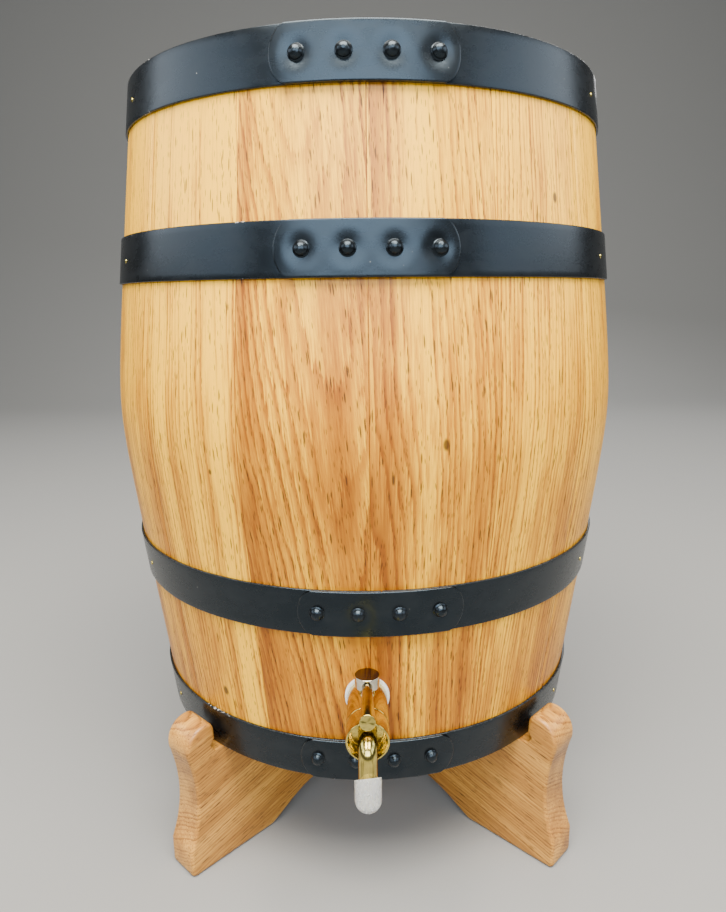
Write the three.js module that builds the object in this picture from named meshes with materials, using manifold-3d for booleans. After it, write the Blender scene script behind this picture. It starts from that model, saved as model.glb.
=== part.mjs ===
// A small upright oak wine barrel on a crossed-board stand, with a brass plug tap.
// Millimetres, +Z up, front towards -Y. The origin is under the middle of the whole
// object's outline, on the surface that the stand rests on.
//
// Inside this file the barrel is drawn about its own axis, with height 0 at the foot
// of its staves. Turns are degrees about that axis, from the front towards +X.

import * as THREE from 'three';
import { mergeVertices } from 'three/addons/utils/BufferGeometryUtils.js';
import Module from 'manifold-3d';

const wasm = await Module();
wasm.setup();

// ---- Driving dimensions ------------------------------------------------------

const GAP = 0.3; // clearance kept between pieces that touch

// Barrel. Its outside follows one branch of a hyperbola about the bilge.
const BARREL_HEIGHT = 440;
const BILGE_RADIUS = 183.5; // outside radius at the widest height
const BILGE_HEIGHT = 228; // height of the widest ring
const BILGE_SOFTNESS = 3.5; // a small value bends the staves mostly at the bilge
const TAPER = 0.125; // radius lost for each mm of height, far from the bilge
const STAVE_COUNT = 15;
const STAVE_THICKNESS = 18;
const STAVE_FACETS = 3; // flats across one stave
const FIRST_JOINT_TURN = 0.8; // the joint between staves that lies nearest the tap
const CHIME_WIDTH = 12; // width of the stave ends, inside which they are bevelled
const CHIME_BEVEL = 14; // height of that bevel

// Heads, each three boards wide, held in a groove (the croze) inside the staves.
const HEAD_THICKNESS = 18;
const HEAD_RECESS = 22; // barrel end to the head's outer face
const HEAD_BOARD_WIDTH = 100; // the middle board; the others take what is left
const TONGUE_THICKNESS = 5; // the bevelled rim that sits in the croze
const CROZE_DEPTH = 4.3;
const HEAD_BEVEL = 9; // width of the slope from the tongue up to the head's flat

// Bung in the upper head.
const BUNG_RADIUS = 15; // at the head's outer face
const BUNG_TAPER = 0.06; // radius lost for each mm downwards
const BUNG_BELOW = 4; // how far it reaches through the head
const BUNG_ABOVE = 14;

// Hoops, and the plates and rivets that close their joints.
const HOOP_WIDTH = 30;
const HOOP_THICKNESS = 1.6;
const HOOP_JOINT_SLIT = 0.8; // the strip's two ends almost meet under the plate
const PLATE_THICKNESS = 1.4;
const PLATE_LENGTH = 101;
const PLATE_END_RADIUS = 20;
const RIVET_PITCH = 24.6;
const RIVET_COUNT = 4;
const RIVET_SHANK_RADIUS = 2.2;
const RIVET_HEAD_RADIUS = 4.5;
const RIVET_HEAD_HEIGHT = 4.2;
const HOOPS = [
  { name: 'head', foot: BARREL_HEIGHT - HOOP_WIDTH, plateTurn: 0.7, rivetTurn: 1.2 },
  { name: 'upper', foot: 313.5, plateTurn: 0.7, rivetTurn: 1.4 },
  { name: 'lower', foot: 107.4, plateTurn: 2.9, rivetTurn: 2.4 },
  { name: 'foot', foot: 0, plateTurn: 2.3, rivetTurn: 1.6 },
];

// Tap. Reaches are measured forward from the barrel's axis, along the tap's own.
const TAP_HEIGHT = 64.5;
const TAP_RADIUS = 12.2;
const TAP_BACK_REACH = 169.2; // the shoulder that presses on the outer washer
const TAP_RING_REACH = 199; // the body ends and the front ring begins
const TAP_FRONT_REACH = 213.7;
const TAIL_REACH = 131; // the tail's end, inside the barrel
const TAIL_RADIUS = 6.5;
const WATERWAY_RADIUS = 3;
const CUP_RADIUS = 10.2; // the hollow in the front ring
const CUP_REACH = 204;
const RING_BEVEL = 0.6; // on the ring's outer edge
const LIP_BEVEL = 0.8; // inside its mouth
const EDGE_BEVEL = 0.4; // on the knob and the lever's end
const OUTER_WASHER_RADIUS = 13.7;
const INNER_WASHER_RADIUS = 13;
const INNER_WASHER_REACH = 143;
const WASHER_BLANK = 15; // thickness that is more than enough before the curve is cut
const NUT_ACROSS_FLATS = 22;
const NUT_THICKNESS = 6.5;

// Turning parts of the tap: plug, knob and lever about one upright axis.
const KNOB_REACH = 177;
const KNOB_RADIUS = 7.5;
const KNOB_HEIGHT = 7.6;
const KNOB_SOCKET_DEPTH = 4;
const PLUG_RADIUS = 5;
const PLUG_BELOW = 8.5; // below the tap's axis
const PLUG_ABOVE = 10.5; // above it, where the thinner stem begins
const PLUG_STEM_RADIUS = 3.2;
const SEAL_GROOVE_RADIUS = 3.9;
const SEAL_GROOVE_FOOT = 5.2; // above the tap's axis
const SEAL_GROOVE_HEIGHT = 2.2;
const LEVER_TILT = 11;
const LEVER_LENGTH = 53;
const LEVER_IN_KNOB = 3.5;
const LEVER_RISE = 3.2; // its root above the knob's foot
const LEVER_ROOT_RADIUS = 2.9;
const LEVER_END_RADIUS = 4.3;

// Spout tube and its soft cap.
const SPOUT_RADIUS = 5.3;
const SPOUT_BORE = 4;
const SPOUT_REACH = 220; // the upright stretch
const SPOUT_BEND = 6.5; // radius of the bend in the tube's middle line
const SPOUT_END_HEIGHT = 31;
const SPOUT_SOCKET_REACH = 191; // how far back the tube goes into the body
const CAP_RADIUS = 7.5;
const CAP_FOOT = 26.5;
const CAP_END_HEIGHT = 7; // height of its round end
const CAP_HEIGHT = 26.7; // up to the middle of the rim's front
const CAP_RIM_SLANT = 37; // the rim is cut higher at the front
const CAP_RIM_TILT = 7; // and a little higher on the right

// Stand: two boards crossed at their middles in a half lap, and the screw that holds it.
const STAND_HEIGHT = 90; // where the barrel's foot rests
const BOARD_THICKNESS = 26;
const STAND_TURN = 1.3; // how far the cross is turned from the exact diagonals
const TOE_RADIUS = 190;
const TOE_ROUND = 4; // the rounding of the toe's bottom corner
const TOE_EDGE = 21; // height of the edge where the toe's upright face ends
const WAIST_RADIUS = 180; // pulls the end's hollow in between the toe and the horn
const ARCH_HEIGHT = 18; // underside of the boards above the floor, at the middle
const ARCH_FLAT = 66; // half length of the arch's level stretch
const ARCH_FOOT = 119; // where the arch comes down to the floor
const HORN_TOP = 111.5;
const HORN_INNER = 165.5; // the horn's inner face
const SCREW_RADIUS = 2.5;
const SCREW_HEAD_RADIUS = 4.6;
const SCREW_HEAD_HEIGHT = 3.2;
const SCREW_SINK = 0.4; // its head below the wood
const SCREW_TOP = 78;

// ---- Sizes worked out from those ---------------------------------------------

const SLICES = STAVE_COUNT * STAVE_FACETS;
const STAVE_ANGLE = 360 / STAVE_COUNT;
const UPPER_HEAD_MIDDLE = BARREL_HEIGHT - HEAD_RECESS - HEAD_THICKNESS / 2;
const LOWER_HEAD_MIDDLE = HEAD_RECESS + HEAD_THICKNESS / 2;
const UPPER_HEAD_FACE = BARREL_HEIGHT - HEAD_RECESS;
const TAP_TOP = TAP_HEIGHT + TAP_RADIUS + GAP; // the knob's underside
const LEVER_REACH = KNOB_REACH + KNOB_RADIUS
  + (LEVER_LENGTH - LEVER_IN_KNOB) * Math.cos(radians(LEVER_TILT));
const AXIS_Y = (LEVER_REACH - BILGE_RADIUS) / 2; // the barrel's axis from the origin

// ---- Finishes ----------------------------------------------------------------

const finish = (color, roughness, metalness = 0) =>
  new THREE.MeshStandardMaterial({ color, roughness, metalness });
const staveOak = () => finish(0xcf9a55, 0.42);
const headOak = () => finish(0xd8b27c, 0.6);
const standOak = () => finish(0xc19a66, 0.5);
const blackSteel = () => finish(0x14181c, 0.4, 0.3);
const brass = () => finish(0xc9a24a, 0.22, 1);
const silverBrass = () => finish(0xc8bda0, 0.2, 1);
const silicone = () => finish(0xe9e8e4, 0.45);
const blackRubber = () => finish(0x151515, 0.7);
const zincSteel = () => finish(0xb8b8b0, 0.35, 1);

// ---- Small helpers -----------------------------------------------------------

function radians(degrees) {
  return THREE.MathUtils.degToRad(degrees);
}

// Outside radius of the staves at a height.
function barrelRadius(height) {
  return BILGE_RADIUS + BILGE_SOFTNESS
    - Math.hypot(BILGE_SOFTNESS, TAPER * (height - BILGE_HEIGHT));
}

function innerRadius(height) {
  return barrelRadius(height) - STAVE_THICKNESS;
}

// A horizontal direction at a turn from the front, optionally tipped upwards.
function outward(turn, rise = 0) {
  const [a, b] = [radians(turn), radians(rise)];
  return new THREE.Vector3(Math.sin(a) * Math.cos(b), -Math.cos(a) * Math.cos(b), Math.sin(b));
}

// Vertices and triangles of a closed geometry, with shared vertices merged.
function solidOf(geometry) {
  const plain = geometry.clone();
  plain.deleteAttribute('normal');
  plain.deleteAttribute('uv');
  const merged = mergeVertices(plain, 1e-3);
  const corners = merged.index.array;
  const triangles = [];
  for (let i = 0; i < corners.length; i += 3) {
    const [a, b, c] = corners.slice(i, i + 3);
    if (a !== b && b !== c && c !== a) triangles.push(a, b, c);
  }
  const vertProperties = Float32Array.from(merged.attributes.position.array);
  const build = (order) => new wasm.Manifold(
    new wasm.Mesh({ numProp: 3, vertProperties, triVerts: Uint32Array.from(order) }),
  );
  const solid = build(triangles);
  return solid.volume() > 0 ? solid : build(triangles.reverse());
}

function geometryOf(solid) {
  const mesh = solid.getMesh();
  const geometry = new THREE.BufferGeometry();
  geometry.setAttribute('position', new THREE.BufferAttribute(mesh.vertProperties, 3));
  geometry.setIndex(new THREE.BufferAttribute(mesh.triVerts, 1));
  const flat = geometry.toNonIndexed();
  flat.computeVertexNormals();
  return flat;
}

// A solid of revolution about +Z from [radius, height] points. Its flats start on the
// first joint between staves, so that rings about the barrel keep the staves' flats.
function turned(points, slices = SLICES) {
  const profile = points.map(([radius, height]) => new THREE.Vector2(radius, height));
  const start = radians(FIRST_JOINT_TURN);
  return new THREE.LatheGeometry(profile, slices, start, 2 * Math.PI).rotateX(Math.PI / 2);
}

function closed(points) {
  return [...points, points[0]];
}

// Points a turned piece's own +Z along a direction and moves it to a place.
function aim(geometry, direction, place) {
  const up = new THREE.Vector3(0, 0, 1);
  geometry.applyQuaternion(new THREE.Quaternion().setFromUnitVectors(up, direction));
  return geometry.translate(place.x, place.y, place.z);
}

// A turned piece of the tap: its heights are reaches forward from the barrel's axis.
function tapTurned(points, slices = 16) {
  return aim(turned(points, slices), outward(0), new THREE.Vector3(0, 0, TAP_HEIGHT));
}

// A turned piece about the knob's upright axis.
function knobTurned(points, slices = 16) {
  return turned(points, slices).translate(0, -KNOB_REACH, 0);
}

function rod(radius, from, to) {
  return [[0, from], [radius, from], [radius, to], [0, to]];
}

const barrel = new THREE.Group();
const stand = new THREE.Group();

function addPiece(group, name, geometry, material) {
  const mesh = new THREE.Mesh(geometry, material);
  mesh.name = name;
  group.add(mesh);
}

// ---- Staves ------------------------------------------------------------------

// Heights between two others, closer together at the bilge, where the staves bend.
function curveHeights(from, to, steps) {
  const bend = BILGE_SOFTNESS / TAPER;
  const place = (height) => Math.asinh((height - BILGE_HEIGHT) / bend);
  const heights = [];
  for (let i = 0; i <= steps; i += 1) {
    const at = place(from) + ((place(to) - place(from)) * i) / steps;
    heights.push(BILGE_HEIGHT + bend * Math.sinh(at));
  }
  return heights;
}

// Outline of the barrel's wall: up the outside, then down the inside.
function wallOutline() {
  const outside = curveHeights(0, BARREL_HEIGHT, 8).map((height) => [barrelRadius(height), height]);
  const half = TONGUE_THICKNESS / 2 + GAP;
  const croze = (middle) => [
    [innerRadius(middle + half), middle + half],
    [innerRadius(middle + half) + CROZE_DEPTH + GAP, middle + half],
    [innerRadius(middle - half) + CROZE_DEPTH + GAP, middle - half],
    [innerRadius(middle - half), middle - half],
  ];
  const inside = curveHeights(UPPER_HEAD_MIDDLE - half, LOWER_HEAD_MIDDLE + half, 4)
    .slice(1, -1)
    .map((height) => [innerRadius(height), height]);
  return closed([
    ...outside,
    [barrelRadius(BARREL_HEIGHT) - CHIME_WIDTH, BARREL_HEIGHT],
    [innerRadius(BARREL_HEIGHT - CHIME_BEVEL), BARREL_HEIGHT - CHIME_BEVEL],
    ...croze(UPPER_HEAD_MIDDLE),
    ...inside,
    ...croze(LOWER_HEAD_MIDDLE),
    [innerRadius(CHIME_BEVEL), CHIME_BEVEL],
    [barrelRadius(0) - CHIME_WIDTH, 0],
  ]);
}

// The sector of space between two joints, less half the gap on each side.
function staveSector(turn) {
  const half = STAVE_ANGLE / 2;
  const tip = outward(turn + half).multiplyScalar(GAP / 2 / Math.sin(radians(half)));
  const far = 1.3 * BILGE_RADIUS;
  const left = outward(turn).multiplyScalar(far).add(tip);
  const right = outward(turn + STAVE_ANGLE).multiplyScalar(far).add(tip);
  const shape = new THREE.Shape([tip, left, right].map(({ x, y }) => new THREE.Vector2(x, y)));
  return new THREE.ExtrudeGeometry(shape, { depth: BARREL_HEIGHT + 2, bevelEnabled: false })
    .translate(0, 0, -1);
}

const tailHole = solidOf(
  tapTurned(rod(TAIL_RADIUS + GAP, TAIL_REACH, TAP_BACK_REACH)),
);
const wall = solidOf(turned(wallOutline())).subtract(tailHole);

for (let i = 0; i < STAVE_COUNT; i += 1) {
  const sector = solidOf(staveSector(FIRST_JOINT_TURN + i * STAVE_ANGLE));
  const name = `stave_${String(i + 1).padStart(2, '0')}`;
  addPiece(barrel, name, geometryOf(wall.intersect(sector)), staveOak());
}

// ---- Heads and bung ----------------------------------------------------------

function headOutline(middle) {
  const face = HEAD_THICKNESS / 2;
  const tongue = TONGUE_THICKNESS / 2;
  const wallRadius = Math.min(innerRadius(middle - face), innerRadius(middle + face));
  const shoulder = wallRadius - 2 * GAP;
  const rim = wallRadius + CROZE_DEPTH;
  const flat = shoulder - HEAD_BEVEL;
  return [
    [0, middle - face],
    [flat, middle - face],
    [shoulder, middle - tongue],
    [rim, middle - tongue],
    [rim, middle + tongue],
    [shoulder, middle + tongue],
    [flat, middle + face],
    [0, middle + face],
  ];
}

function bungRadius(height) {
  return BUNG_RADIUS + BUNG_TAPER * (height - UPPER_HEAD_FACE);
}

function slab(middle, width) {
  const reach = 3 * BILGE_RADIUS;
  return solidOf(new THREE.BoxGeometry(reach, width, 3 * BARREL_HEIGHT).translate(0, middle, 0));
}

function bungOutline(grow, foot, top) {
  return [
    [0, foot],
    [bungRadius(foot) + grow, foot],
    [bungRadius(top) + grow, top],
    [0, top],
  ];
}

const headWidth = 2 * BILGE_RADIUS;
const boards = [
  { name: 'front', middle: -(HEAD_BOARD_WIDTH + headWidth) / 2, width: headWidth - GAP },
  { name: 'middle', middle: 0, width: HEAD_BOARD_WIDTH - GAP },
  { name: 'back', middle: (HEAD_BOARD_WIDTH + headWidth) / 2, width: headWidth - GAP },
];
const bungFoot = UPPER_HEAD_FACE - HEAD_THICKNESS - BUNG_BELOW;
const bungTop = UPPER_HEAD_FACE + BUNG_ABOVE;
const bungHole = solidOf(turned(bungOutline(GAP, bungFoot, bungTop), 16));
const heads = [
  { name: 'lower', solid: solidOf(turned(headOutline(LOWER_HEAD_MIDDLE))) },
  { name: 'upper', solid: solidOf(turned(headOutline(UPPER_HEAD_MIDDLE))).subtract(bungHole) },
];
for (const head of heads) {
  for (const board of boards) {
    const piece = head.solid.intersect(slab(board.middle, board.width));
    addPiece(barrel, `${head.name}_head_${board.name}_board`, geometryOf(piece), headOak());
  }
}
addPiece(barrel, 'bung', turned(bungOutline(0, bungFoot, bungTop), 16), headOak());

// ---- Hoops, joint plates and rivets ------------------------------------------

// A conical band that hugs the staves, from one distance off the wood to another.
function band(foot, inner, outer) {
  const top = foot + HOOP_WIDTH;
  const [low, high] = [barrelRadius(foot), barrelRadius(top)];
  return solidOf(turned(closed([
    [low + inner, foot],
    [low + outer, foot],
    [high + outer, top],
    [high + inner, top],
  ])));
}

// The plate's outline on the band: straight edges and broad round ends.
function plateOutline() {
  const half = HOOP_WIDTH / 2;
  const centre = PLATE_LENGTH / 2 - PLATE_END_RADIUS;
  const sweep = Math.asin(half / PLATE_END_RADIUS);
  const shape = new THREE.Shape();
  shape.absarc(centre, half, PLATE_END_RADIUS, -sweep, sweep);
  shape.absarc(-centre, half, PLATE_END_RADIUS, Math.PI - sweep, Math.PI + sweep);
  return new THREE.ExtrudeGeometry(shape, {
    depth: 1.3 * BILGE_RADIUS,
    bevelEnabled: false,
    curveSegments: 4,
  }).rotateX(Math.PI / 2);
}

function rivetOutline() {
  const radius = RIVET_HEAD_RADIUS;
  const height = RIVET_HEAD_HEIGHT + GAP;
  return [
    [0, -PLATE_THICKNESS - HOOP_THICKNESS],
    [RIVET_SHANK_RADIUS, -PLATE_THICKNESS - HOOP_THICKNESS],
    [RIVET_SHANK_RADIUS, GAP],
    [radius, GAP],
    [0.88 * radius, 0.5 * height],
    [0.42 * radius, 0.92 * height],
    [0, height],
  ];
}

const stripOuter = GAP + HOOP_THICKNESS;
const plateOuter = stripOuter + GAP + PLATE_THICKNESS;
for (const hoop of HOOPS) {
  const middle = hoop.foot + HOOP_WIDTH / 2;
  const slope = (barrelRadius(hoop.foot) - barrelRadius(hoop.foot + HOOP_WIDTH)) / HOOP_WIDTH;
  const rise = THREE.MathUtils.radToDeg(Math.atan(slope));
  const surface = barrelRadius(middle) + plateOuter;
  const pitchTurn = THREE.MathUtils.radToDeg(RIVET_PITCH / surface);

  let strip = band(hoop.foot, GAP, stripOuter);
  const slit = new THREE.BoxGeometry(HOOP_JOINT_SLIT, BILGE_RADIUS, 3 * HOOP_WIDTH)
    .translate(0, -BILGE_RADIUS, middle)
    .rotateZ(radians(hoop.plateTurn));
  strip = strip.subtract(solidOf(slit));

  const cover = plateOutline().translate(0, 0, hoop.foot).rotateZ(radians(hoop.plateTurn));
  let plate = band(hoop.foot, stripOuter + GAP, plateOuter).intersect(solidOf(cover));

  for (let i = 0; i < RIVET_COUNT; i += 1) {
    const turn = hoop.rivetTurn + (i - (RIVET_COUNT - 1) / 2) * pitchTurn;
    const place = outward(turn).multiplyScalar(surface).setZ(middle);
    const hole = solidOf(aim(
      turned(rod(RIVET_SHANK_RADIUS + GAP, -4 * PLATE_THICKNESS, PLATE_THICKNESS), 8),
      outward(turn, rise),
      place,
    ));
    strip = strip.subtract(hole);
    plate = plate.subtract(hole);
    const rivet = aim(turned(rivetOutline(), 8), outward(turn, rise), place);
    addPiece(barrel, `${hoop.name}_hoop_rivet_${i + 1}`, rivet, blackSteel());
  }
  addPiece(barrel, `${hoop.name}_hoop_strip`, geometryOf(strip), blackSteel());
  addPiece(barrel, `${hoop.name}_hoop_plate`, geometryOf(plate), blackSteel());
}

// ---- Tap body, ring, washers and nut -----------------------------------------

const spoutSocketRadius = SPOUT_RADIUS + GAP;

const tapBody = solidOf(tapTurned(closed([
  [WATERWAY_RADIUS, TAIL_REACH],
  [TAIL_RADIUS, TAIL_REACH],
  [TAIL_RADIUS, TAP_BACK_REACH],
  [TAP_RADIUS, TAP_BACK_REACH],
  [TAP_RADIUS, TAP_RING_REACH - GAP / 2],
  [spoutSocketRadius, TAP_RING_REACH - GAP / 2],
  [spoutSocketRadius, SPOUT_SOCKET_REACH],
  [WATERWAY_RADIUS, SPOUT_SOCKET_REACH],
]), 20));
const plugChamber = solidOf(knobTurned(
  rod(PLUG_RADIUS + GAP, TAP_HEIGHT - PLUG_BELOW - GAP, TAP_TOP + GAP),
));
addPiece(barrel, 'tap_body', geometryOf(tapBody.subtract(plugChamber)), brass());

addPiece(barrel, 'tap_front_ring', tapTurned(closed([
  [spoutSocketRadius, TAP_RING_REACH + GAP / 2],
  [TAP_RADIUS, TAP_RING_REACH + GAP / 2],
  [TAP_RADIUS, TAP_FRONT_REACH - RING_BEVEL],
  [TAP_RADIUS - RING_BEVEL, TAP_FRONT_REACH],
  [CUP_RADIUS + LIP_BEVEL / 2, TAP_FRONT_REACH],
  [CUP_RADIUS, TAP_FRONT_REACH - LIP_BEVEL],
  [CUP_RADIUS, CUP_REACH],
  [spoutSocketRadius, CUP_REACH],
]), 20), brass());

// The washers are soft, so the side that meets the wood takes the barrel's curve.
function aroundBarrel(radiusAt) {
  const steps = 4;
  const reach = 2 * OUTER_WASHER_RADIUS;
  const points = [[0, TAP_HEIGHT - reach]];
  for (let i = 0; i <= steps; i += 1) {
    const height = TAP_HEIGHT - reach + (2 * reach * i) / steps;
    points.push([radiusAt(height), height]);
  }
  points.push([0, TAP_HEIGHT + reach]);
  return solidOf(turned(points));
}

function washer(radius, from, to) {
  const hole = TAIL_RADIUS + GAP;
  return solidOf(tapTurned(closed([[hole, from], [radius, from], [radius, to], [hole, to]])));
}

const outerWasherFront = TAP_BACK_REACH - GAP;
const outerWasher = washer(OUTER_WASHER_RADIUS, outerWasherFront - WASHER_BLANK, outerWasherFront)
  .subtract(aroundBarrel((height) => barrelRadius(height) + GAP));
addPiece(barrel, 'tap_outer_washer', geometryOf(outerWasher), silicone());

const innerWasherFront = INNER_WASHER_REACH + WASHER_BLANK;
const innerWasher = washer(INNER_WASHER_RADIUS, INNER_WASHER_REACH, innerWasherFront)
  .intersect(aroundBarrel((height) => innerRadius(height) - 2 * GAP));
addPiece(barrel, 'tap_inner_washer', geometryOf(innerWasher), silicone());

function nutGeometry() {
  const corner = NUT_ACROSS_FLATS / 2 / Math.cos(Math.PI / 6);
  const shape = new THREE.Shape();
  for (let i = 0; i < 6; i += 1) {
    const angle = (i * Math.PI) / 3;
    shape[i ? 'lineTo' : 'moveTo'](corner * Math.cos(angle), corner * Math.sin(angle));
  }
  shape.holes.push(new THREE.Path().absarc(0, 0, TAIL_RADIUS + GAP, 0, 2 * Math.PI, true));
  const nut = new THREE.ExtrudeGeometry(shape, {
    depth: NUT_THICKNESS,
    bevelEnabled: false,
    curveSegments: 10,
  });
  const foot = INNER_WASHER_REACH - GAP - NUT_THICKNESS;
  return aim(nut, outward(0), outward(0).multiplyScalar(foot).setZ(TAP_HEIGHT));
}
addPiece(barrel, 'tap_lock_nut', nutGeometry(), brass());

// ---- Plug, knob and lever ----------------------------------------------------

const sealFoot = TAP_HEIGHT + SEAL_GROOVE_FOOT;
const sealTop = sealFoot + SEAL_GROOVE_HEIGHT;
const plug = solidOf(knobTurned([
  [0, TAP_HEIGHT - PLUG_BELOW],
  [PLUG_RADIUS, TAP_HEIGHT - PLUG_BELOW],
  [PLUG_RADIUS, sealFoot],
  [SEAL_GROOVE_RADIUS, sealFoot],
  [SEAL_GROOVE_RADIUS, sealTop],
  [PLUG_RADIUS, sealTop],
  [PLUG_RADIUS, TAP_HEIGHT + PLUG_ABOVE],
  [PLUG_STEM_RADIUS, TAP_HEIGHT + PLUG_ABOVE],
  [PLUG_STEM_RADIUS, TAP_TOP + KNOB_SOCKET_DEPTH - GAP],
  [0, TAP_TOP + KNOB_SOCKET_DEPTH - GAP],
]));
const plugWay = solidOf(tapTurned(
  rod(WATERWAY_RADIUS, KNOB_REACH - 2 * PLUG_RADIUS, KNOB_REACH + 2 * PLUG_RADIUS),
  16,
));
addPiece(barrel, 'tap_plug', geometryOf(plug.subtract(plugWay)), brass());

const sealInner = SEAL_GROOVE_RADIUS + GAP;
const sealOuter = PLUG_RADIUS;
addPiece(barrel, 'tap_plug_seal', knobTurned(closed([
  [sealInner, sealFoot + GAP],
  [sealOuter, sealFoot + GAP],
  [sealOuter, sealTop - GAP],
  [sealInner, sealTop - GAP],
])), blackRubber());

const leverDirection = outward(0, LEVER_TILT);
const leverRoot = outward(0)
  .multiplyScalar(KNOB_REACH + KNOB_RADIUS)
  .setZ(TAP_TOP + LEVER_RISE)
  .addScaledVector(leverDirection, -LEVER_IN_KNOB);
const leverSocket = solidOf(aim(
  turned(rod(LEVER_ROOT_RADIUS + 2 * GAP, -GAP, 3 * LEVER_IN_KNOB), 16),
  leverDirection,
  leverRoot,
));
const knobTop = TAP_TOP + KNOB_HEIGHT;
const stemSocket = PLUG_STEM_RADIUS + GAP;
const knob = solidOf(knobTurned([
  [0, TAP_TOP + KNOB_SOCKET_DEPTH],
  [stemSocket, TAP_TOP + KNOB_SOCKET_DEPTH],
  [stemSocket, TAP_TOP],
  [KNOB_RADIUS, TAP_TOP],
  [KNOB_RADIUS, knobTop - EDGE_BEVEL],
  [KNOB_RADIUS - EDGE_BEVEL, knobTop],
  [0, knobTop],
], 20));
addPiece(barrel, 'tap_knob', geometryOf(knob.subtract(leverSocket)), silverBrass());

addPiece(barrel, 'tap_lever', aim(turned([
  [0, 0],
  [LEVER_ROOT_RADIUS, 0],
  [LEVER_END_RADIUS, LEVER_LENGTH - EDGE_BEVEL],
  [LEVER_END_RADIUS - EDGE_BEVEL, LEVER_LENGTH],
  [0, LEVER_LENGTH],
], 12), leverDirection, leverRoot), brass());

// ---- Spout and cap -----------------------------------------------------------

// The quarter circle from the spout's level stretch to its upright one.
class SpoutBend extends THREE.Curve {
  getPoint(t, target = new THREE.Vector3()) {
    const angle = (t * Math.PI) / 2;
    return target.set(
      0,
      -SPOUT_REACH + SPOUT_BEND * (1 - Math.sin(angle)),
      TAP_HEIGHT - SPOUT_BEND * (1 - Math.cos(angle)),
    );
  }
}

function spoutGeometry() {
  const path = new THREE.CurvePath();
  const start = new THREE.Vector3(0, -SPOUT_SOCKET_REACH - GAP, TAP_HEIGHT);
  const end = new THREE.Vector3(0, -SPOUT_REACH, SPOUT_END_HEIGHT);
  const bend = new SpoutBend();
  path.add(new THREE.LineCurve3(start, bend.getPoint(0)));
  path.add(bend);
  path.add(new THREE.LineCurve3(bend.getPoint(1), end));
  const section = new THREE.Shape().absarc(0, 0, SPOUT_RADIUS, 0, 2 * Math.PI);
  section.holes.push(new THREE.Path().absarc(0, 0, SPOUT_BORE, 0, 2 * Math.PI, true));
  return new THREE.ExtrudeGeometry(section, {
    steps: 20,
    extrudePath: path,
    bevelEnabled: false,
    curveSegments: 5,
  });
}
addPiece(barrel, 'tap_spout', geometryOf(solidOf(spoutGeometry())), brass());

// The cap is a round-ended cup pushed up over the spout, with its rim cut askew.
function capGeometry() {
  const wallRadius = SPOUT_RADIUS + GAP;
  const rim = CAP_FOOT + CAP_HEIGHT;
  const top = rim + CAP_RADIUS;
  const floor = SPOUT_END_HEIGHT - GAP;
  const roundEnd = [0, 30, 60, 90].map(radians).map((angle) => [
    CAP_RADIUS * Math.sin(angle),
    CAP_FOOT + CAP_END_HEIGHT * (1 - Math.cos(angle)),
  ]);
  const cup = turned([
    ...roundEnd,
    [CAP_RADIUS, top],
    [wallRadius, top],
    [wallRadius, floor],
    [0, floor],
  ], 16).translate(0, -SPOUT_REACH, 0);
  const block = 6 * CAP_RADIUS;
  const cut = new THREE.BoxGeometry(block, block, block)
    .translate(0, 0, block / 2)
    .rotateX(radians(-CAP_RIM_SLANT))
    .rotateY(radians(-CAP_RIM_TILT))
    .translate(0, -SPOUT_REACH - CAP_RADIUS, rim);
  return geometryOf(solidOf(cup).subtract(solidOf(cut)));
}
addPiece(barrel, 'spout_cap', capGeometry(), silicone());

// ---- Stand -------------------------------------------------------------------

// One end of a board's outline, from the middle of the arch round the toe and the horn
// to the middle of the seat. The horn's inner face is relieved where it meets the seat.
function boardEnd(side) {
  const seat = STAND_HEIGHT - GAP;
  const shape = new THREE.Shape();
  const point = (radius, height) => [side * radius, height];
  const curve = (...points) => shape.bezierCurveTo(...points.flatMap((each) => point(...each)));
  shape.moveTo(...point(ARCH_FLAT, ARCH_HEIGHT));
  curve([ARCH_FOOT - 29, ARCH_HEIGHT], [ARCH_FOOT - 13, 5], [ARCH_FOOT, 0]);
  shape.lineTo(...point(TOE_RADIUS - TOE_ROUND, 0));
  shape.quadraticCurveTo(...point(TOE_RADIUS, 0), ...point(TOE_RADIUS, TOE_ROUND));
  shape.lineTo(...point(TOE_RADIUS, TOE_EDGE));
  curve([WAIST_RADIUS, 2 * TOE_EDGE], [WAIST_RADIUS, seat - 24], [TOE_RADIUS - 3.5, seat]);
  curve([TOE_RADIUS, seat + 10], [TOE_RADIUS - 6, HORN_TOP], [HORN_INNER + 6.5, HORN_TOP]);
  shape.quadraticCurveTo(...point(HORN_INNER, HORN_TOP), ...point(HORN_INNER, HORN_TOP - 7.5));
  shape.lineTo(...point(HORN_INNER + 0.5, seat + 9.5));
  shape.lineTo(...point(HORN_INNER + 3.5, seat + 5));
  shape.lineTo(...point(HORN_INNER + 0.5, seat));
  return shape.getPoints(5);
}

function boardGeometry() {
  const points = [...boardEnd(1), ...boardEnd(-1).reverse()];
  return new THREE.ExtrudeGeometry(new THREE.Shape(points), {
    depth: BOARD_THICKNESS,
    bevelEnabled: false,
  }).translate(0, 0, -BOARD_THICKNESS / 2).rotateX(Math.PI / 2);
}

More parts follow.
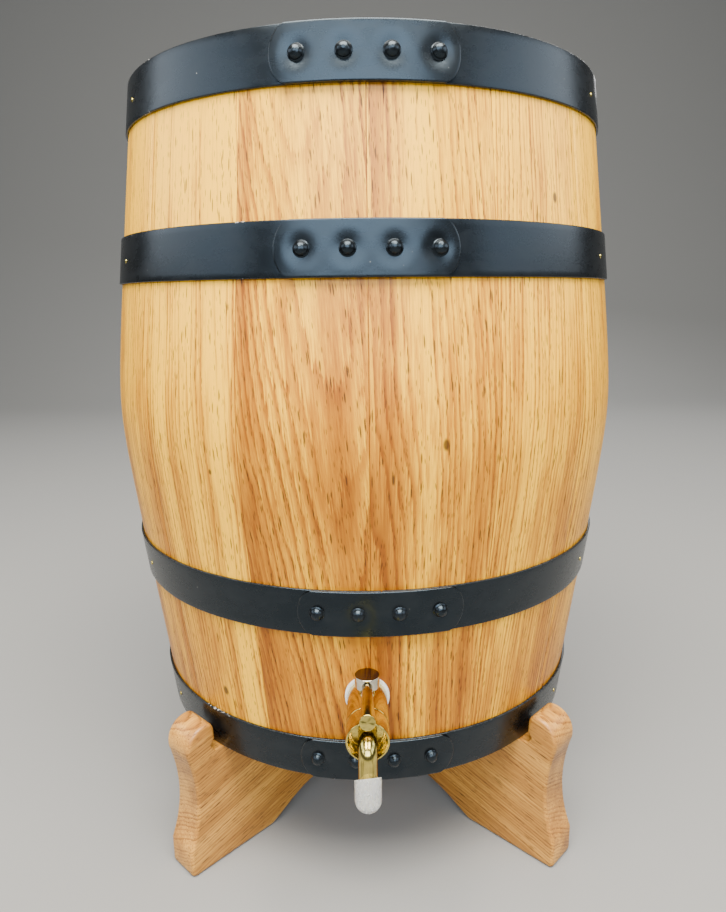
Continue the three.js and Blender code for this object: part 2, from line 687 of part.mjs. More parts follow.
const lapHeight = (ARCH_HEIGHT + STAND_HEIGHT) / 2;
const lapNotch = (middle) => solidOf(
  new THREE.BoxGeometry(BOARD_THICKNESS + 2 * GAP, 2 * BOARD_THICKNESS, STAND_HEIGHT)
    .translate(0, 0, middle),
);
const screwFoot = ARCH_HEIGHT + SCREW_SINK;
const screwOutline = (grow, top) => [
  [SCREW_HEAD_RADIUS + grow, screwFoot],
  [SCREW_RADIUS + grow, screwFoot + SCREW_HEAD_HEIGHT],
  [SCREW_RADIUS + grow, top],
  [0, top],
];
const belowBoards = ARCH_HEIGHT - 2;
const screwHole = solidOf(turned([
  [0, belowBoards],
  [SCREW_HEAD_RADIUS + GAP, belowBoards],
  ...screwOutline(GAP, SCREW_TOP + GAP),
], 12));
const standBoards = [
  { name: 'stand_board_lower', turn: 45, notch: lapHeight + STAND_HEIGHT / 2 - GAP / 2 },
  { name: 'stand_board_upper', turn: -45, notch: lapHeight - STAND_HEIGHT / 2 + GAP / 2 },
];
for (const { name, turn, notch } of standBoards) {
  const board = solidOf(boardGeometry()).subtract(lapNotch(notch));
  const drilled = board.subtract(screwHole);
  const geometry = geometryOf(drilled).rotateZ(radians(turn + STAND_TURN));
  addPiece(stand, name, geometry, standOak());
}
const screw = turned([[0, screwFoot], ...screwOutline(0, SCREW_TOP)], 12);
addPiece(stand, 'stand_screw', screw, zincSteel());

// ---- Assembly ----------------------------------------------------------------

barrel.position.z = STAND_HEIGHT;
const object = new THREE.Group();
object.add(stand, barrel);
object.position.y = AXIS_Y;

export default object;
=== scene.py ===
"""Looks of the upright oak wine barrel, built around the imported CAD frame.

Shapes are drawn in millimetres about the barrel's axis, with height 0 at the foot of
its staves and the front towards -Y, and placed in the frame by place(). Turns are
degrees about that axis, from the front towards +X.
"""
import math

import bmesh
import bpy
import numpy as np
from mathutils import Matrix, Vector


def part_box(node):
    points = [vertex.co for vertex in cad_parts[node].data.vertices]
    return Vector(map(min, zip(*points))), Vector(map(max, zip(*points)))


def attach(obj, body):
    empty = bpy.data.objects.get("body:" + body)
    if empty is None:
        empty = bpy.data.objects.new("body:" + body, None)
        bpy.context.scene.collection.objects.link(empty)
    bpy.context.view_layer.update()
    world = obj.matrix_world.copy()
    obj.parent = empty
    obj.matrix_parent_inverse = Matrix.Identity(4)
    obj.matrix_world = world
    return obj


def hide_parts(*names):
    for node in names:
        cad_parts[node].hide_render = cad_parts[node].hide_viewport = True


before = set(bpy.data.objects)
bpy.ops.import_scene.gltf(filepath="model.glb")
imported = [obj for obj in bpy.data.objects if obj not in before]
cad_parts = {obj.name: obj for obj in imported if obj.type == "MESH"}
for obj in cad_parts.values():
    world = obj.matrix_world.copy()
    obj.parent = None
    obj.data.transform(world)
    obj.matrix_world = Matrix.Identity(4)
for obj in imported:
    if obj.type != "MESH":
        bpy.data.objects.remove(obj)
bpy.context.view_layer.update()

MM = 0.001


# ---- Places taken from the frame ---------------------------------------------

def box_mm(node):
    """A CAD node's lowest and highest corners, in millimetres about the barrel's axis."""
    low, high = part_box(node)
    return [(Vector(c) - ORIGIN) / MM for c in (low, high)]


BUNG_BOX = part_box("bung")
AXIS = (BUNG_BOX[0] + BUNG_BOX[1]) / 2
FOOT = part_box("stave_01")[0].z
ORIGIN = Vector((AXIS.x, AXIS.y, FOOT))
FLOOR = -ORIGIN.z / MM  # the floor's height, counted from the staves' foot

HEIGHT = box_mm("stave_01")[1].z
HOOP_NAMES = ("head", "upper", "lower", "foot")
HOOP_FEET = {name: box_mm(f"{name}_hoop_strip")[0].z for name in HOOP_NAMES}
HOOP_WIDTH = box_mm("head_hoop_strip")[1].z - box_mm("head_hoop_strip")[0].z
TAP_LOW, TAP_HIGH = box_mm("tap_front_ring")
TAP_HEIGHT = (TAP_LOW.z + TAP_HIGH.z) / 2
TAP_FRONT = -TAP_LOW.y
TAP_RING = -TAP_HIGH.y
TAP_BACK = -box_mm("tap_outer_washer")[0].y
TAIL_END = -box_mm("tap_body")[1].y
KNOB_LOW, KNOB_HIGH = box_mm("tap_knob")
KNOB_REACH = -(KNOB_LOW.y + KNOB_HIGH.y) / 2
CAP_LOW, CAP_HIGH = box_mm("spout_cap")
SPOUT_REACH = -(CAP_LOW.y + CAP_HIGH.y) / 2
NUT_LOW, NUT_HIGH = box_mm("tap_lock_nut")
PLUG_LOW, PLUG_HIGH = box_mm("tap_plug")
BUNG_LOW, BUNG_HIGH = box_mm("bung")
HEAD_LOW = {name: box_mm(f"{name}_head_middle_board")[0].z for name in ("lower", "upper")}
HEAD_TOP = {name: box_mm(f"{name}_head_middle_board")[1].z for name in ("lower", "upper")}
BOARD_SPLIT = box_mm("upper_head_middle_board")[1].y

# ---- Sizes of the object, as in its design -----------------------------------

GAP = 0.3
BILGE_RADIUS = 183.5
BILGE_HEIGHT = 228
BILGE_SOFTNESS = 3.5
TAPER = 0.125
STAVE_COUNT = 15
STAVE_ANGLE = 360 / STAVE_COUNT
STAVE_THICKNESS = 18
FIRST_JOINT_TURN = 0.8
JOINT_GAP = 0.12  # between finished staves, which touch closer than the CAD ones
CHIME_WIDTH = 12
CHIME_BEVEL = 14
TONGUE = 5
CROZE_DEPTH = 4.3
HEAD_BEVEL = 9
HOOP_THICKNESS = 1.6
PLATE_THICKNESS = 1.4
PLATE_LENGTH = 101
PLATE_END_RADIUS = 20
RIVET_PITCH = 24.6
PLATE_TURNS = {"head": 0.7, "upper": 0.7, "lower": 2.9, "foot": 2.3}
RIVET_TURNS = {"head": 1.2, "upper": 1.4, "lower": 2.4, "foot": 1.6}
NAIL_TURNS = (-60, 60, 180)
TAP_RADIUS = 12.2
TAIL_RADIUS = 6.5
NUT_BORE = TAIL_RADIUS + 0.1
BODY_BORE = 3
CHAMBER_RADIUS = 5.15
OUTER_WASHER_RADIUS = 13.7
INNER_WASHER_RADIUS = 13
CUP_RADIUS = 10.2
CUP_MOUTH = 11.2
CUP_DEPTH = 9.7
KNOB_RADIUS = 7.5
LEVER_TILT = 11
LEVER_LENGTH = 53
LEVER_IN_KNOB = 3.5
LEVER_RISE = 3.2
LEVER_SOCKET = 3.15
PLUG_RADIUS = 5
PLUG_ABOVE = 10.5
PLUG_STEM_RADIUS = 3.2
SPOUT_RADIUS = 5.3
SPOUT_BORE = 4
SPOUT_BEND = 6.5
SPOUT_END = 31
SPOUT_SOCKET = SPOUT_RADIUS + 0.1
SPOUT_SOCKET_REACH = 191
CAP_RADIUS = 7.5
CAP_END_HEIGHT = 7
CAP_RIM_SLANT = 37
CAP_RIM_TILT = 7
BOARD_THICKNESS = 26
STAND_TURN = 1.3
TOE_RADIUS = 190
TOE_ROUND = 4
WAIST_RADIUS = 180
ARCH_HEIGHT = 18
ARCH_FLAT = 66
ARCH_FOOT = 119
HORN_TOP = 111.5
HORN_CROWN = 172
HORN_INNER = 165.5


# ---- Geometry helpers --------------------------------------------------------

def place(points):
    """Millimetres about the barrel's axis to metres in the frame."""
    return np.asarray(points, float) * MM + np.array(ORIGIN)


def barrel_radius(height):
    """Outside radius of the staves at a height."""
    run = TAPER * (np.asarray(height, float) - BILGE_HEIGHT)
    return BILGE_RADIUS + BILGE_SOFTNESS - np.hypot(BILGE_SOFTNESS, run)


def inner_radius(height):
    return barrel_radius(height) - STAVE_THICKNESS


def outward(turn, rise=0):
    """The direction at a turn from the front, tipped upwards by rise."""
    a, b = math.radians(turn), math.radians(rise)
    return Vector((math.sin(a) * math.cos(b), -math.cos(a) * math.cos(b), math.sin(b)))


def rounded(corners):
    """An outline from (u, v) or (u, v, fillet) corners, each fillet drawn as an arc."""
    steps = 4
    outline = []
    count = len(corners)
    for i, corner in enumerate(corners):
        here = np.array(corner[:2], float)
        fillet = corner[2] if len(corner) > 2 else 0
        if not fillet:
            outline.append(tuple(here))
            continue
        back = np.array(corners[i - 1][:2], float) - here
        ahead = np.array(corners[(i + 1) % count][:2], float) - here
        back_dir = back / np.linalg.norm(back)
        ahead_dir = ahead / np.linalg.norm(ahead)
        half = math.acos(np.clip(back_dir @ ahead_dir, -1, 1)) / 2
        run = min(fillet / math.tan(half), 0.48 * np.linalg.norm(back), 0.48 * np.linalg.norm(ahead))
        radius = run * math.tan(half)
        middle = back_dir + ahead_dir
        centre = here + middle / np.linalg.norm(middle) * radius / math.sin(half)
        first = here + back_dir * run - centre
        last = here + ahead_dir * run - centre
        angle = math.acos(np.clip(first @ last / radius**2, -1, 1))
        for k in range(steps + 1):
            t = k / steps
            blend = (math.sin((1 - t) * angle) * first + math.sin(t * angle) * last) / math.sin(angle)
            outline.append(tuple(centre + blend))
    return outline


def revolve(profile, segments):
    """Vertices and faces of a solid turned about Z from (radius, height) points.

    A profile that begins and ends on the axis makes a plain solid, and any other is
    closed on itself into a ring.
    """
    profile = np.array([p[:2] for p in profile], float)
    solid = profile[0][0] < 1e-9 and profile[-1][0] < 1e-9
    rings = profile[1:-1] if solid else profile
    angles = np.linspace(0, 2 * math.pi, segments, endpoint=False)
    verts = [(r * math.sin(a), -r * math.cos(a), z) for r, z in rings for a in angles]
    faces = []
    last = len(rings) - 1 if solid else len(rings)
    for i in range(last):
        j = (i + 1) % len(rings)
        for k in range(segments):
            n = (k + 1) % segments
            faces.append((i * segments + k, i * segments + n, j * segments + n, j * segments + k))
    if solid:
        low, high = len(verts), len(verts) + 1
        verts += [(0, 0, profile[0][1]), (0, 0, profile[-1][1])]
        top = (len(rings) - 1) * segments
        for k in range(segments):
            n = (k + 1) % segments
            faces.append((low, n, k))
            faces.append((high, top + k, top + n))
    return np.array(verts), faces


def rod(radius, low, high, segments):
    """A plain round solid about Z, as the cuts use."""
    return revolve([(0, low), (radius, low), (radius, high), (0, high)], segments)


def sweep(sections):
    """A closed solid through equal closed sections, capped at both ends."""
    count = len(sections[0])
    verts = np.concatenate([np.array(s, float) for s in sections])
    faces = [tuple(range(count))[::-1]]
    for i in range(len(sections) - 1):
        for k in range(count):
            n = (k + 1) % count
            a, b = i * count, (i + 1) * count
            faces.append((a + k, a + n, b + n, b + k))
    end = (len(sections) - 1) * count
    faces.append(tuple(range(end, end + count)))
    return verts, faces


def about_barrel(outline, turn):
    """(radius, height) points put at a turn about the barrel's axis."""
    a = math.radians(turn)
    return [(r * math.sin(a), -r * math.cos(a), z) for r, z in outline]


def aimed(verts, direction, origin):
    """Turns +Z to a direction and moves the result to an origin."""
    turn = Vector((0, 0, 1)).rotation_difference(direction).to_matrix()
    return np.asarray(verts) @ np.array(turn).T + np.array(origin)


def along_tap(verts):
    """A solid drawn about +Z as (.., reach) put on the tap's own axis."""
    return aimed(verts, outward(0), (0, 0, TAP_HEIGHT))


def about_knob(verts):
    return np.asarray(verts) + np.array((0, -KNOB_REACH, 0))


def make_object(name, verts, faces, sharp=35):
    """A mesh object from millimetre points, with outward faces and smooth shading."""
    mesh = bpy.data.meshes.new(name)
    mesh.from_pydata(place(verts).tolist(), [], [list(f) for f in faces])
    tidy_mesh(mesh, sharp)
    piece = bpy.data.objects.new(name, mesh)
    bpy.context.scene.collection.objects.link(piece)
    return piece


def tidy_mesh(mesh, sharp=35):
    """Merges doubled points, turns faces outwards and marks the sharp edges."""
    bm = bmesh.new()
    bm.from_mesh(mesh)
    bmesh.ops.remove_doubles(bm, verts=bm.verts, dist=1e-7)
    bmesh.ops.dissolve_degenerate(bm, edges=bm.edges, dist=1e-7)
    bmesh.ops.recalc_face_normals(bm, faces=bm.faces)
    for face in bm.faces:
        face.smooth = True
    for edge in bm.edges:
        edge.smooth = edge.calc_face_angle(0) < math.radians(sharp)
    bm.to_mesh(mesh)
    bm.free()


def cut(piece, verts, faces):
    """Cuts a millimetre solid out of a piece."""
    cutter = make_object("cutter", verts, faces)
    modifier = piece.modifiers.new("cut", "BOOLEAN")
    modifier.object = cutter
    modifier.operation = "DIFFERENCE"
    modifier.solver = "EXACT"
    bpy.context.view_layer.update()
    evaluated = piece.evaluated_get(bpy.context.evaluated_depsgraph_get())
    mesh = bpy.data.meshes.new_from_object(evaluated)
    piece.modifiers.clear()
    piece.data = mesh
    bpy.data.objects.remove(cutter)
    tidy_mesh(mesh)


def dress(piece, body, slot, material, *nodes):
    """Gives a piece its material and its body, and hides the CAD nodes it stands for; the slot is not used.
    """
    piece.data.materials.clear()
    piece.data.materials.append(material)
    if nodes:
        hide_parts(*nodes)
    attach(piece, body)
    return piece


def mark(piece, name, values):
    """Stores one number or one vector for each point of a piece."""
    kind = "FLOAT_VECTOR" if np.ndim(values) == 2 else "FLOAT"
    field = "vector" if kind == "FLOAT_VECTOR" else "value"
    layer = piece.data.attributes.new(name, kind, "POINT")
    layer.data.foreach_set(field, np.asarray(values, np.float32).ravel())


def points_mm(piece):
    """A piece's points in millimetres about the barrel's axis."""
    flat = np.zeros(len(piece.data.vertices) * 3)
    piece.data.vertices.foreach_get("co", flat)
    return (flat.reshape(-1, 3) - np.array(ORIGIN)) / MM


# ---- Materials ---------------------------------------------------------------

# Small knots and dark specks in the staves: turn, height, and half width.
KNOTS = ((-29.7, 205, 1.1), (-34.9, 49, 2.0), (40.4, 358, 1.8), (14.2, 224, 2.0))


class Graph:
    """A material's node tree, with short calls for the nodes used here."""

    def __init__(self, name):
        self.material = bpy.data.materials.new(name)
        self.material.use_nodes = True
        self.tree = self.material.node_tree
        self.shader = self.tree.nodes["Principled BSDF"]

    def put(self, socket, value):
        if isinstance(value, bpy.types.NodeSocket):
            self.tree.links.new(value, socket)
        else:
            socket.default_value = value

    def node(self, kind, inputs=(), **settings):
        node = self.tree.nodes.new(kind)
        for key, value in settings.items():
            setattr(node, key, value)
        for key, value in dict(inputs).items():
            self.put(node.inputs[key], value)
        return node

    def set(self, **inputs):
        """Sets the shader's own sockets, a space in their names written as a low line."""
        for key, value in inputs.items():
            self.put(self.shader.inputs[key.replace("_", " ")], value)

    def attribute(self, name, output="Vector"):
        return self.node("ShaderNodeAttribute", attribute_name=name).outputs[output]

    def math(self, operation, a, b=0.0):
        return self.node("ShaderNodeMath", {0: a, 1: b}, operation=operation).outputs[0]

    def times(self, a, b):
        return self.math("MULTIPLY", a, b)

    def total(self, first, *others):
        for other in others:
            first = self.math("ADD", first, other)
        return first

    def vector(self, operation, a, b=(0, 0, 0)):
        node = self.node("ShaderNodeVectorMath", {0: a, 1: b}, operation=operation)
        return node.outputs["Value" if operation in ("LENGTH", "DOT_PRODUCT") else "Vector"]

    def stretch(self, vector, scale):
        return self.vector("MULTIPLY", vector, scale)

    def noise(self, vector, scale=1.0, detail=2.0, rough=0.5, output="Fac"):
        """Noise at one scale, or at three scales along X, Y and Z."""
        if isinstance(scale, tuple):
            vector, scale = self.stretch(vector, scale), 1.0
        inputs = {"Vector": vector, "Scale": scale, "Detail": detail, "Roughness": rough}
        return self.node("ShaderNodeTexNoise", inputs).outputs[output]

    def cells(self, vector, output="Distance"):
        inputs = {"Vector": vector, "Scale": 1.0, "Randomness": 1.0}
        return self.node("ShaderNodeTexVoronoi", inputs).outputs[output]

    def step(self, value, low, high, to_low=0.0, to_high=1.0):
        inputs = {"Value": value, "From Min": low, "From Max": high, "To Min": to_low, "To Max": to_high}
        return self.node("ShaderNodeMapRange", inputs, interpolation_type="SMOOTHSTEP").outputs[0]

    def mix(self, factor, a, b):
        node = self.node("ShaderNodeMix", data_type="RGBA")
        self.put(node.inputs[0], factor)
        self.put(node.inputs[6], a)
        self.put(node.inputs[7], b)
        return node.outputs[2]

    def bump(self, height, distance_mm, strength):
        inputs = {"Height": height, "Distance": distance_mm * MM, "Strength": strength}
        return self.node("ShaderNodeBump", inputs).outputs[0]

    def place_mm(self):
        """Object coordinates in millimetres."""
        place = self.node("ShaderNodeTexCoord").outputs["Object"]
        return self.vector("MULTIPLY", place, (1 / MM, 1 / MM, 1 / MM))


def rgb(r, g, b):
    return (r, g, b, 1.0)


def oak(name, light, dark, pore, gloss, coat=0.0, shine=0.5, ring_width=3.2, grime=0.0, knots=()):
    """Oak from the point's place in its log: rings, fibres, pores, rays and colour bands.

    The "log" attribute is the place in millimetres with the tree's axis along Z, and
    "tint" is one number, from -1, dark and red, to 1, pale.
    """
    g = Graph(name)
    log = g.attribute("log")
    tint = g.attribute("tint", "Fac")
    centred = (-0.5, -0.5, -0.5)

    # The rings wander slowly along the trunk, and their edges follow single fibres.
    drift = g.noise(log, (1 / 60, 1 / 60, 1 / 240), 2.0, 0.5, "Color")
    drift = g.stretch(g.vector("ADD", drift, centred), (12, 12, 0))
    waver = g.noise(log, (1 / 11, 1 / 11, 1 / 48), 2.0, 0.6, "Color")
    waver = g.stretch(g.vector("ADD", waver, centred), (2.0, 2.0, 0))
    fibre = g.noise(log, (0.95, 0.95, 1 / 38), 3.0, 0.7)
    wood = g.vector("ADD", g.vector("ADD", log, drift), waver)
    reach = g.vector("LENGTH", g.stretch(wood, (1, 1, 0)))
    reach = g.total(reach, g.times(fibre, 2.2))
    year = g.math("DIVIDE", reach, ring_width)
    phase = g.math("FRACT", year)
    early = g.times(g.step(phase, 0.0, 0.12), g.step(phase, 0.58, 0.14))
    year_place = g.node("ShaderNodeCombineXYZ", {0: g.math("FLOOR", year)}).outputs[0]
    early = g.times(early, g.step(g.noise(year_place, 1.37, 0.0), 0.34, 0.66, 0.10, 1.0))

    # Broad bands of colour run the length of the board.
    bands = g.noise(log, (1 / 16, 1 / 16, 1 / 400), 3.0, 0.6)
    clouds = g.noise(log, (1 / 24, 1 / 24, 1 / 70), 3.0, 0.55)
    shares = ((early, 0.55), (bands, 1.5), (fibre, 1.35), (clouds, 0.6), (tint, -0.46))
    tone = g.total(*(g.times(part, share) for part, share in shares))
    middle = tuple(math.sqrt(a * b) for a, b in zip(light, dark))
    colour = g.mix(g.step(tone, 1.22, 2.00), light, middle)
    colour = g.mix(g.step(tone, 1.84, 2.50), colour, dark)

    # Pores are dark dashes, crowded in each year's early wood.
    def dashes(scale, channel, edge, few, many):
        where = g.stretch(wood, scale)
        luck = g.vector("DOT_PRODUCT", g.cells(where, "Color"), channel)
        kept = g.math("LESS_THAN", luck, g.step(early, 0.1, 0.7, few, many))
        return g.times(g.step(g.cells(where), edge, 0.20), kept)

    fine = dashes((1.25, 1.25, 1 / 6), (1, 0, 0), 0.42, 0.20, 0.70)
    long = dashes((0.72, 0.72, 1 / 13), (0, 1, 0), 0.36, 0.10, 0.55)
    pores = g.math("MAXIMUM", g.times(fine, 0.8), long)

    # Rays stand across the rings: short dashes on flat-sawn faces, flecks on quartered ones.
    parts = g.node("ShaderNodeSeparateXYZ", {0: log}).outputs
    turn = g.times(g.math("ARCTAN2", parts[0], parts[1]), 140)
    ray_place = {0: turn, 1: g.times(reach, 0.06), 2: g.times(parts[2], 0.09)}
    rays = g.step(g.cells(g.node("ShaderNodeCombineXYZ", ray_place).outputs[0]), 0.30, 0.12)

    colour = g.mix(g.times(rays, 0.16), colour, dark)
    colour = g.mix(g.times(pores, 0.84), colour, pore)
    place = g.place_mm()
    for turn, height, size in knots:
        spot = outward(turn) * float(barrel_radius(height))
        centre = (spot.x + ORIGIN.x / MM, spot.y + ORIGIN.y / MM, height + ORIGIN.z / MM)
        away = g.stretch(g.vector("SUBTRACT", place, centre), (1 / size, 1 / size, 0.55 / size))
        ragged = g.total(g.vector("LENGTH", away), g.times(fibre, 0.9))
        colour = g.mix(g.step(ragged, 1.75, 1.0, 0.0, 0.85), colour, pore)
    if grime:
        spots = g.noise(log, (1 / 30, 1 / 30, 1 / 60), 3.0)
        colour = g.mix(g.times(g.step(spots, 0.5, 0.8), grime), colour, dark)
    rough = g.total(g.times(pores, 0.6), g.times(fibre, 0.6))
    relief = g.math("SUBTRACT", g.times(fibre, 0.35), pores)
    g.set(
        Base_Color=colour, Roughness=g.step(rough, 0.1, 1.0, gloss, gloss + 0.25),
        Normal=g.bump(relief, 0.10, 0.6), Specular_IOR_Level=shine,
        Coat_Weight=coat, Coat_Roughness=0.2)
    return g.material


def black_paint(name):
    """Satin black paint, with a little peel and dust, chipped along edges, and greyer along edges, partly as
    rubbed paint and partly as a painted edge highlight.
    """
    g = Graph(name)
    where = g.place_mm()
    edge = g.attribute("edge", "Fac")
    chipped = g.attribute("chipped", "Fac")
    peel = g.noise(where, (0.7, 0.7, 0.7), 3.0)
    dust = g.noise(where, (0.05, 0.05, 0.09), 4.0, 0.65)
    flakes = g.noise(where, (0.55, 0.55, 0.55), 3.0, 0.7)
    specks = g.step(g.cells(g.stretch(where, (0.16, 0.16, 0.16))), 0.07, 0.03)
    bare = g.step(g.times(chipped, flakes), 0.50, 0.56)
    bare = g.math("MAXIMUM", bare, g.times(specks, g.step(dust, 0.55, 0.62)))
    # Greyer along the edges: partly rubbed paint, partly a painted highlight where light would catch the
    # rounded edges of strips and plates.
    rub_and_highlight = g.times(g.step(edge, 0.70, 1.0), g.step(flakes, 0.35, 0.7))
    colour = g.mix(g.step(dust, 0.35, 0.75), rgb(0.0020, 0.0021, 0.0022), rgb(0.0055, 0.0058, 0.0062))
    colour = g.mix(g.times(rub_and_highlight, 0.3), colour, rgb(0.09, 0.088, 0.08))
    colour = g.mix(bare, colour, rgb(0.46, 0.45, 0.42))
    g.set(
        Base_Color=colour, Normal=g.bump(peel, 0.06, 0.4),
        Roughness=g.step(g.total(dust, g.times(bare, 0.4)), 0.2, 1.0, 0.25, 0.34),
        Specular_IOR_Level=0.42, Specular_Tint=rgb(0.58, 0.79, 1.0))
    return g.material


def brass(name, base, rough=0.13, marks_vary_along=(0, 1, 0), streaks=0.25, streak_darkness=0.62):
    """Polished brass with tarnish, browned places and fine darker marks across an axis: tool marks across a
    lathe's axis on turned parts, painted reflection streaks down the spout's tube.

    The attribute read below runs from 0 to 1 and darkens the metal towards brown as it rises.
    """
    g = Graph(name)
    where = g.place_mm()
    marks = g.noise(where, tuple(4.5 * a + 0.04 for a in marks_vary_along), 3.0, 0.6)
    tarnish = g.noise(where, (0.12, 0.12, 0.12), 4.0, 0.6)
    smear = g.noise(where, (0.5, 0.5, 0.5), 3.0, 0.55)
    tarnished = rgb(*(0.62 * a for a in base[:3]))
    streak_colour = rgb(*(streak_darkness * a for a in base[:3]))
    colour = g.mix(g.step(tarnish, 0.42, 0.72), base, tarnished)
    # Darker marks across the given axis: faint tool marks on turned brass; on the spout's tube, strong and
    # running down its length, they are painted reflection streaks standing in for the surroundings a bent
    # polished tube reflects.
    colour = g.mix(g.times(g.step(marks, 0.45, 0.7), streaks), colour, streak_colour)
    colour = g.mix(g.attribute("brown_tone", "Fac"), colour, rgb(0.085, 0.050, 0.022))
    g.set(
        Base_Color=colour, Metallic=1.0, Anisotropic=0.35,
        Roughness=g.step(smear, 0.3, 0.8, rough, rough + 0.10), Normal=g.bump(marks, 0.016, 0.4))
    return g.material


def silicone(name, through):
    """Milky soft plastic that lets some light through, with faint mould haze."""
    g = Graph(name)
    haze = g.noise(g.place_mm(), (0.35, 0.35, 0.2), 3.0)
    g.set(
        Base_Color=g.mix(haze, rgb(0.80, 0.80, 0.76), rgb(0.92, 0.92, 0.90)),
        Roughness=g.step(haze, 0.3, 0.8, 0.22, 0.36),
        Transmission_Weight=through, IOR=1.41, Subsurface_Weight=0.35,
        Subsurface_Radius=(0.004, 0.004, 0.0035), Subsurface_Scale=1.0)
    return g.material


def rubber(name):
    g = Graph(name)
    grain = g.noise(g.place_mm(), 2.0, 3.0)
    colour = g.mix(grain, rgb(0.012, 0.012, 0.012), rgb(0.035, 0.034, 0.033))
    g.set(Base_Color=colour, Roughness=0.65, Normal=g.bump(grain, 0.04, 0.5))
    return g.material


def zinc(name):
    g = Graph(name)
    bloom = g.noise(g.place_mm(), 0.8, 4.0)
    colour = g.mix(bloom, rgb(0.48, 0.48, 0.46), rgb(0.66, 0.65, 0.58))
    g.set(Base_Color=colour, Metallic=1.0, Roughness=g.step(bloom, 0.3, 0.7, 0.28, 0.45))
    return g.material


STAVE_OAK = oak(
    "stave_oak", rgb(0.99, 0.51, 0.004), rgb(0.24, 0.064, 0.0006), rgb(0.030, 0.009, 0.001), 0.38,
    coat=0.08, shine=0.3, ring_width=2.7, knots=KNOTS)
HEAD_OAK = oak(
    "head_oak", rgb(0.68, 0.41, 0.13), rgb(0.25, 0.11, 0.022), rgb(0.09, 0.038, 0.010), 0.55, grime=0.3)
STAND_OAK = oak(
    "stand_oak", rgb(0.62, 0.31, 0.055), rgb(0.19, 0.068, 0.009), rgb(0.06, 0.022, 0.005), 0.38,
    coat=0.15, shine=0.4, ring_width=2.6)
BLACK_PAINT = black_paint("black_paint")
BRASS_YELLOW = rgb(0.70, 0.55, 0.14)
BRASS_TAP = brass("brass_tap", BRASS_YELLOW)
BRASS_UPRIGHT = brass("brass_upright", BRASS_YELLOW, marks_vary_along=(0, 0, 1))
# The tube's strong dark streaks down its length are painted reflection streaks.
BRASS_TUBE = brass("brass_tube", BRASS_YELLOW, marks_vary_along=(0.2, 0.2, 0), streaks=1.0, streak_darkness=0.3)
BRASS_KNOB = brass("brass_knob", rgb(0.76, 0.70, 0.58), 0.09, marks_vary_along=(0, 0, 1))
CAP_SILICONE = silicone("cap_silicone", 0.62)
WASHER_SILICONE = silicone("washer_silicone", 0.2)
BLACK_RUBBER = rubber("black_rubber")
ZINC_STEEL = zinc("zinc_steel")


# ---- Staves ------------------------------------------------------------------

# How each stave was cut from its tree: sideways distance from the tree's axis, distance
# out from it, sideways and outward lean (mm per mm up the stave) and tint. They go round
# from the stave right of the tap; the last is left of it. Each comes from further along.
TRUNK_STEP = 900
STAVE_CUTS = (
    (52, 60, 0.01, 0.030, -0.05),
    (-78, 46, -0.02, 0.012, 0.15),
    (60, 60, 0.01, -0.020, 0.20),
    (20, 76, 0.03, 0.020, 0.05),
    (-66, 58, 0.01, -0.015, 0.25),
    (66, 52, -0.02, 0.010, -0.10),
    (8, 85, 0.02, 0.030, 0.10),
    (-70, 48, -0.01, -0.020, 0.30),
    (58, 62, 0.02, 0.015, 0.00),
    (-12, 74, -0.03, -0.030, 0.20),
    (68, 58, 0.01, 0.012, -0.05),
    (-36, 80, 0.02, 0.022, 0.28),
    (70, 50, -0.01, -0.012, 0.25),
    (-74, 54, 0.01, -0.016, 0.42),
    (-16, 52, 0.09, -0.046, -0.12),
)

# How much the glue darkens a stave's edges. One joint has opened a little and is darker.
GLUE_LINE = -1.2
DARK_JOINT = -6.0

# Pale or dark streaks that run the whole height: turn, half width in degrees, tint.
STREAKS = (
    (11, 1.8, 0.9), (3.5, 2.0, -0.5), (21, 2.5, -0.35), (-21.5, 1.5, -0.7), (-27, 2.5, 0.7),
    (-44, 2.5, 0.3), (31, 3, 0.35), (44, 2.5, 0.3), (-55, 4, 0.4), (57, 4, 0.3),
)


def wall_outline():
    """The staves' outline: up the outside, then down the inside, in millimetres."""
    outside = [(barrel_radius(h), h) for h in np.linspace(0, HEIGHT, 57)[1:-1]]
    half = TONGUE / 2 + GAP

    def croze(middle):
        top, foot = middle + half, middle - half
        deep = CROZE_DEPTH + GAP
        return [
            (inner_radius(top), top),
            (inner_radius(top) + deep, top),
            (inner_radius(foot) + deep, foot),
            (inner_radius(foot), foot),
        ]

    middles = {name: (HEAD_LOW[name] + HEAD_TOP[name]) / 2 for name in HEAD_LOW}
    inside = [(inner_radius(h), h) for h in
              np.linspace(middles["upper"] - half, middles["lower"] + half, 25)[1:-1]]
    corners = [
        (barrel_radius(0), 0, 0.8),
        *outside,
        (barrel_radius(HEIGHT), HEIGHT, 0.8),
        (barrel_radius(HEIGHT) - CHIME_WIDTH, HEIGHT, 1.0),
        (inner_radius(HEIGHT - CHIME_BEVEL), HEIGHT - CHIME_BEVEL),
        *croze(middles["upper"]),
        *inside,
        *croze(middles["lower"]),
        (inner_radius(CHIME_BEVEL), CHIME_BEVEL),
        (barrel_radius(0) - CHIME_WIDTH, 0, 1.0),
    ]
    return rounded(corners)


def stave_mesh(turn):
    """One stave from its joint at turn to the next, its outer edges barely eased."""
    outline = wall_outline()
    ease = 0.08  # how far the outer edge is taken in
    edge = math.degrees(JOINT_GAP / 2 / BILGE_RADIUS)
    soft = math.degrees(0.3 / BILGE_RADIUS)  # the width it is taken in over, in degrees
    between = np.linspace(0, STAVE_ANGLE, 13)[1:-1]
    far_edge = STAVE_ANGLE - edge
    turns = np.concatenate([[edge, edge + soft], between, [STAVE_ANGLE - edge - soft, far_edge]])
    sections = []
    for at in turns:
        at_edge = at in (turns[0], turns[-1])
        shifted = []
        for radius, height in outline:
            outer = radius > barrel_radius(height) - 1
            shifted.append((radius - ease if at_edge and outer else radius, height))
        sections.append(about_barrel(shifted, turn + at))
    return sweep(sections)


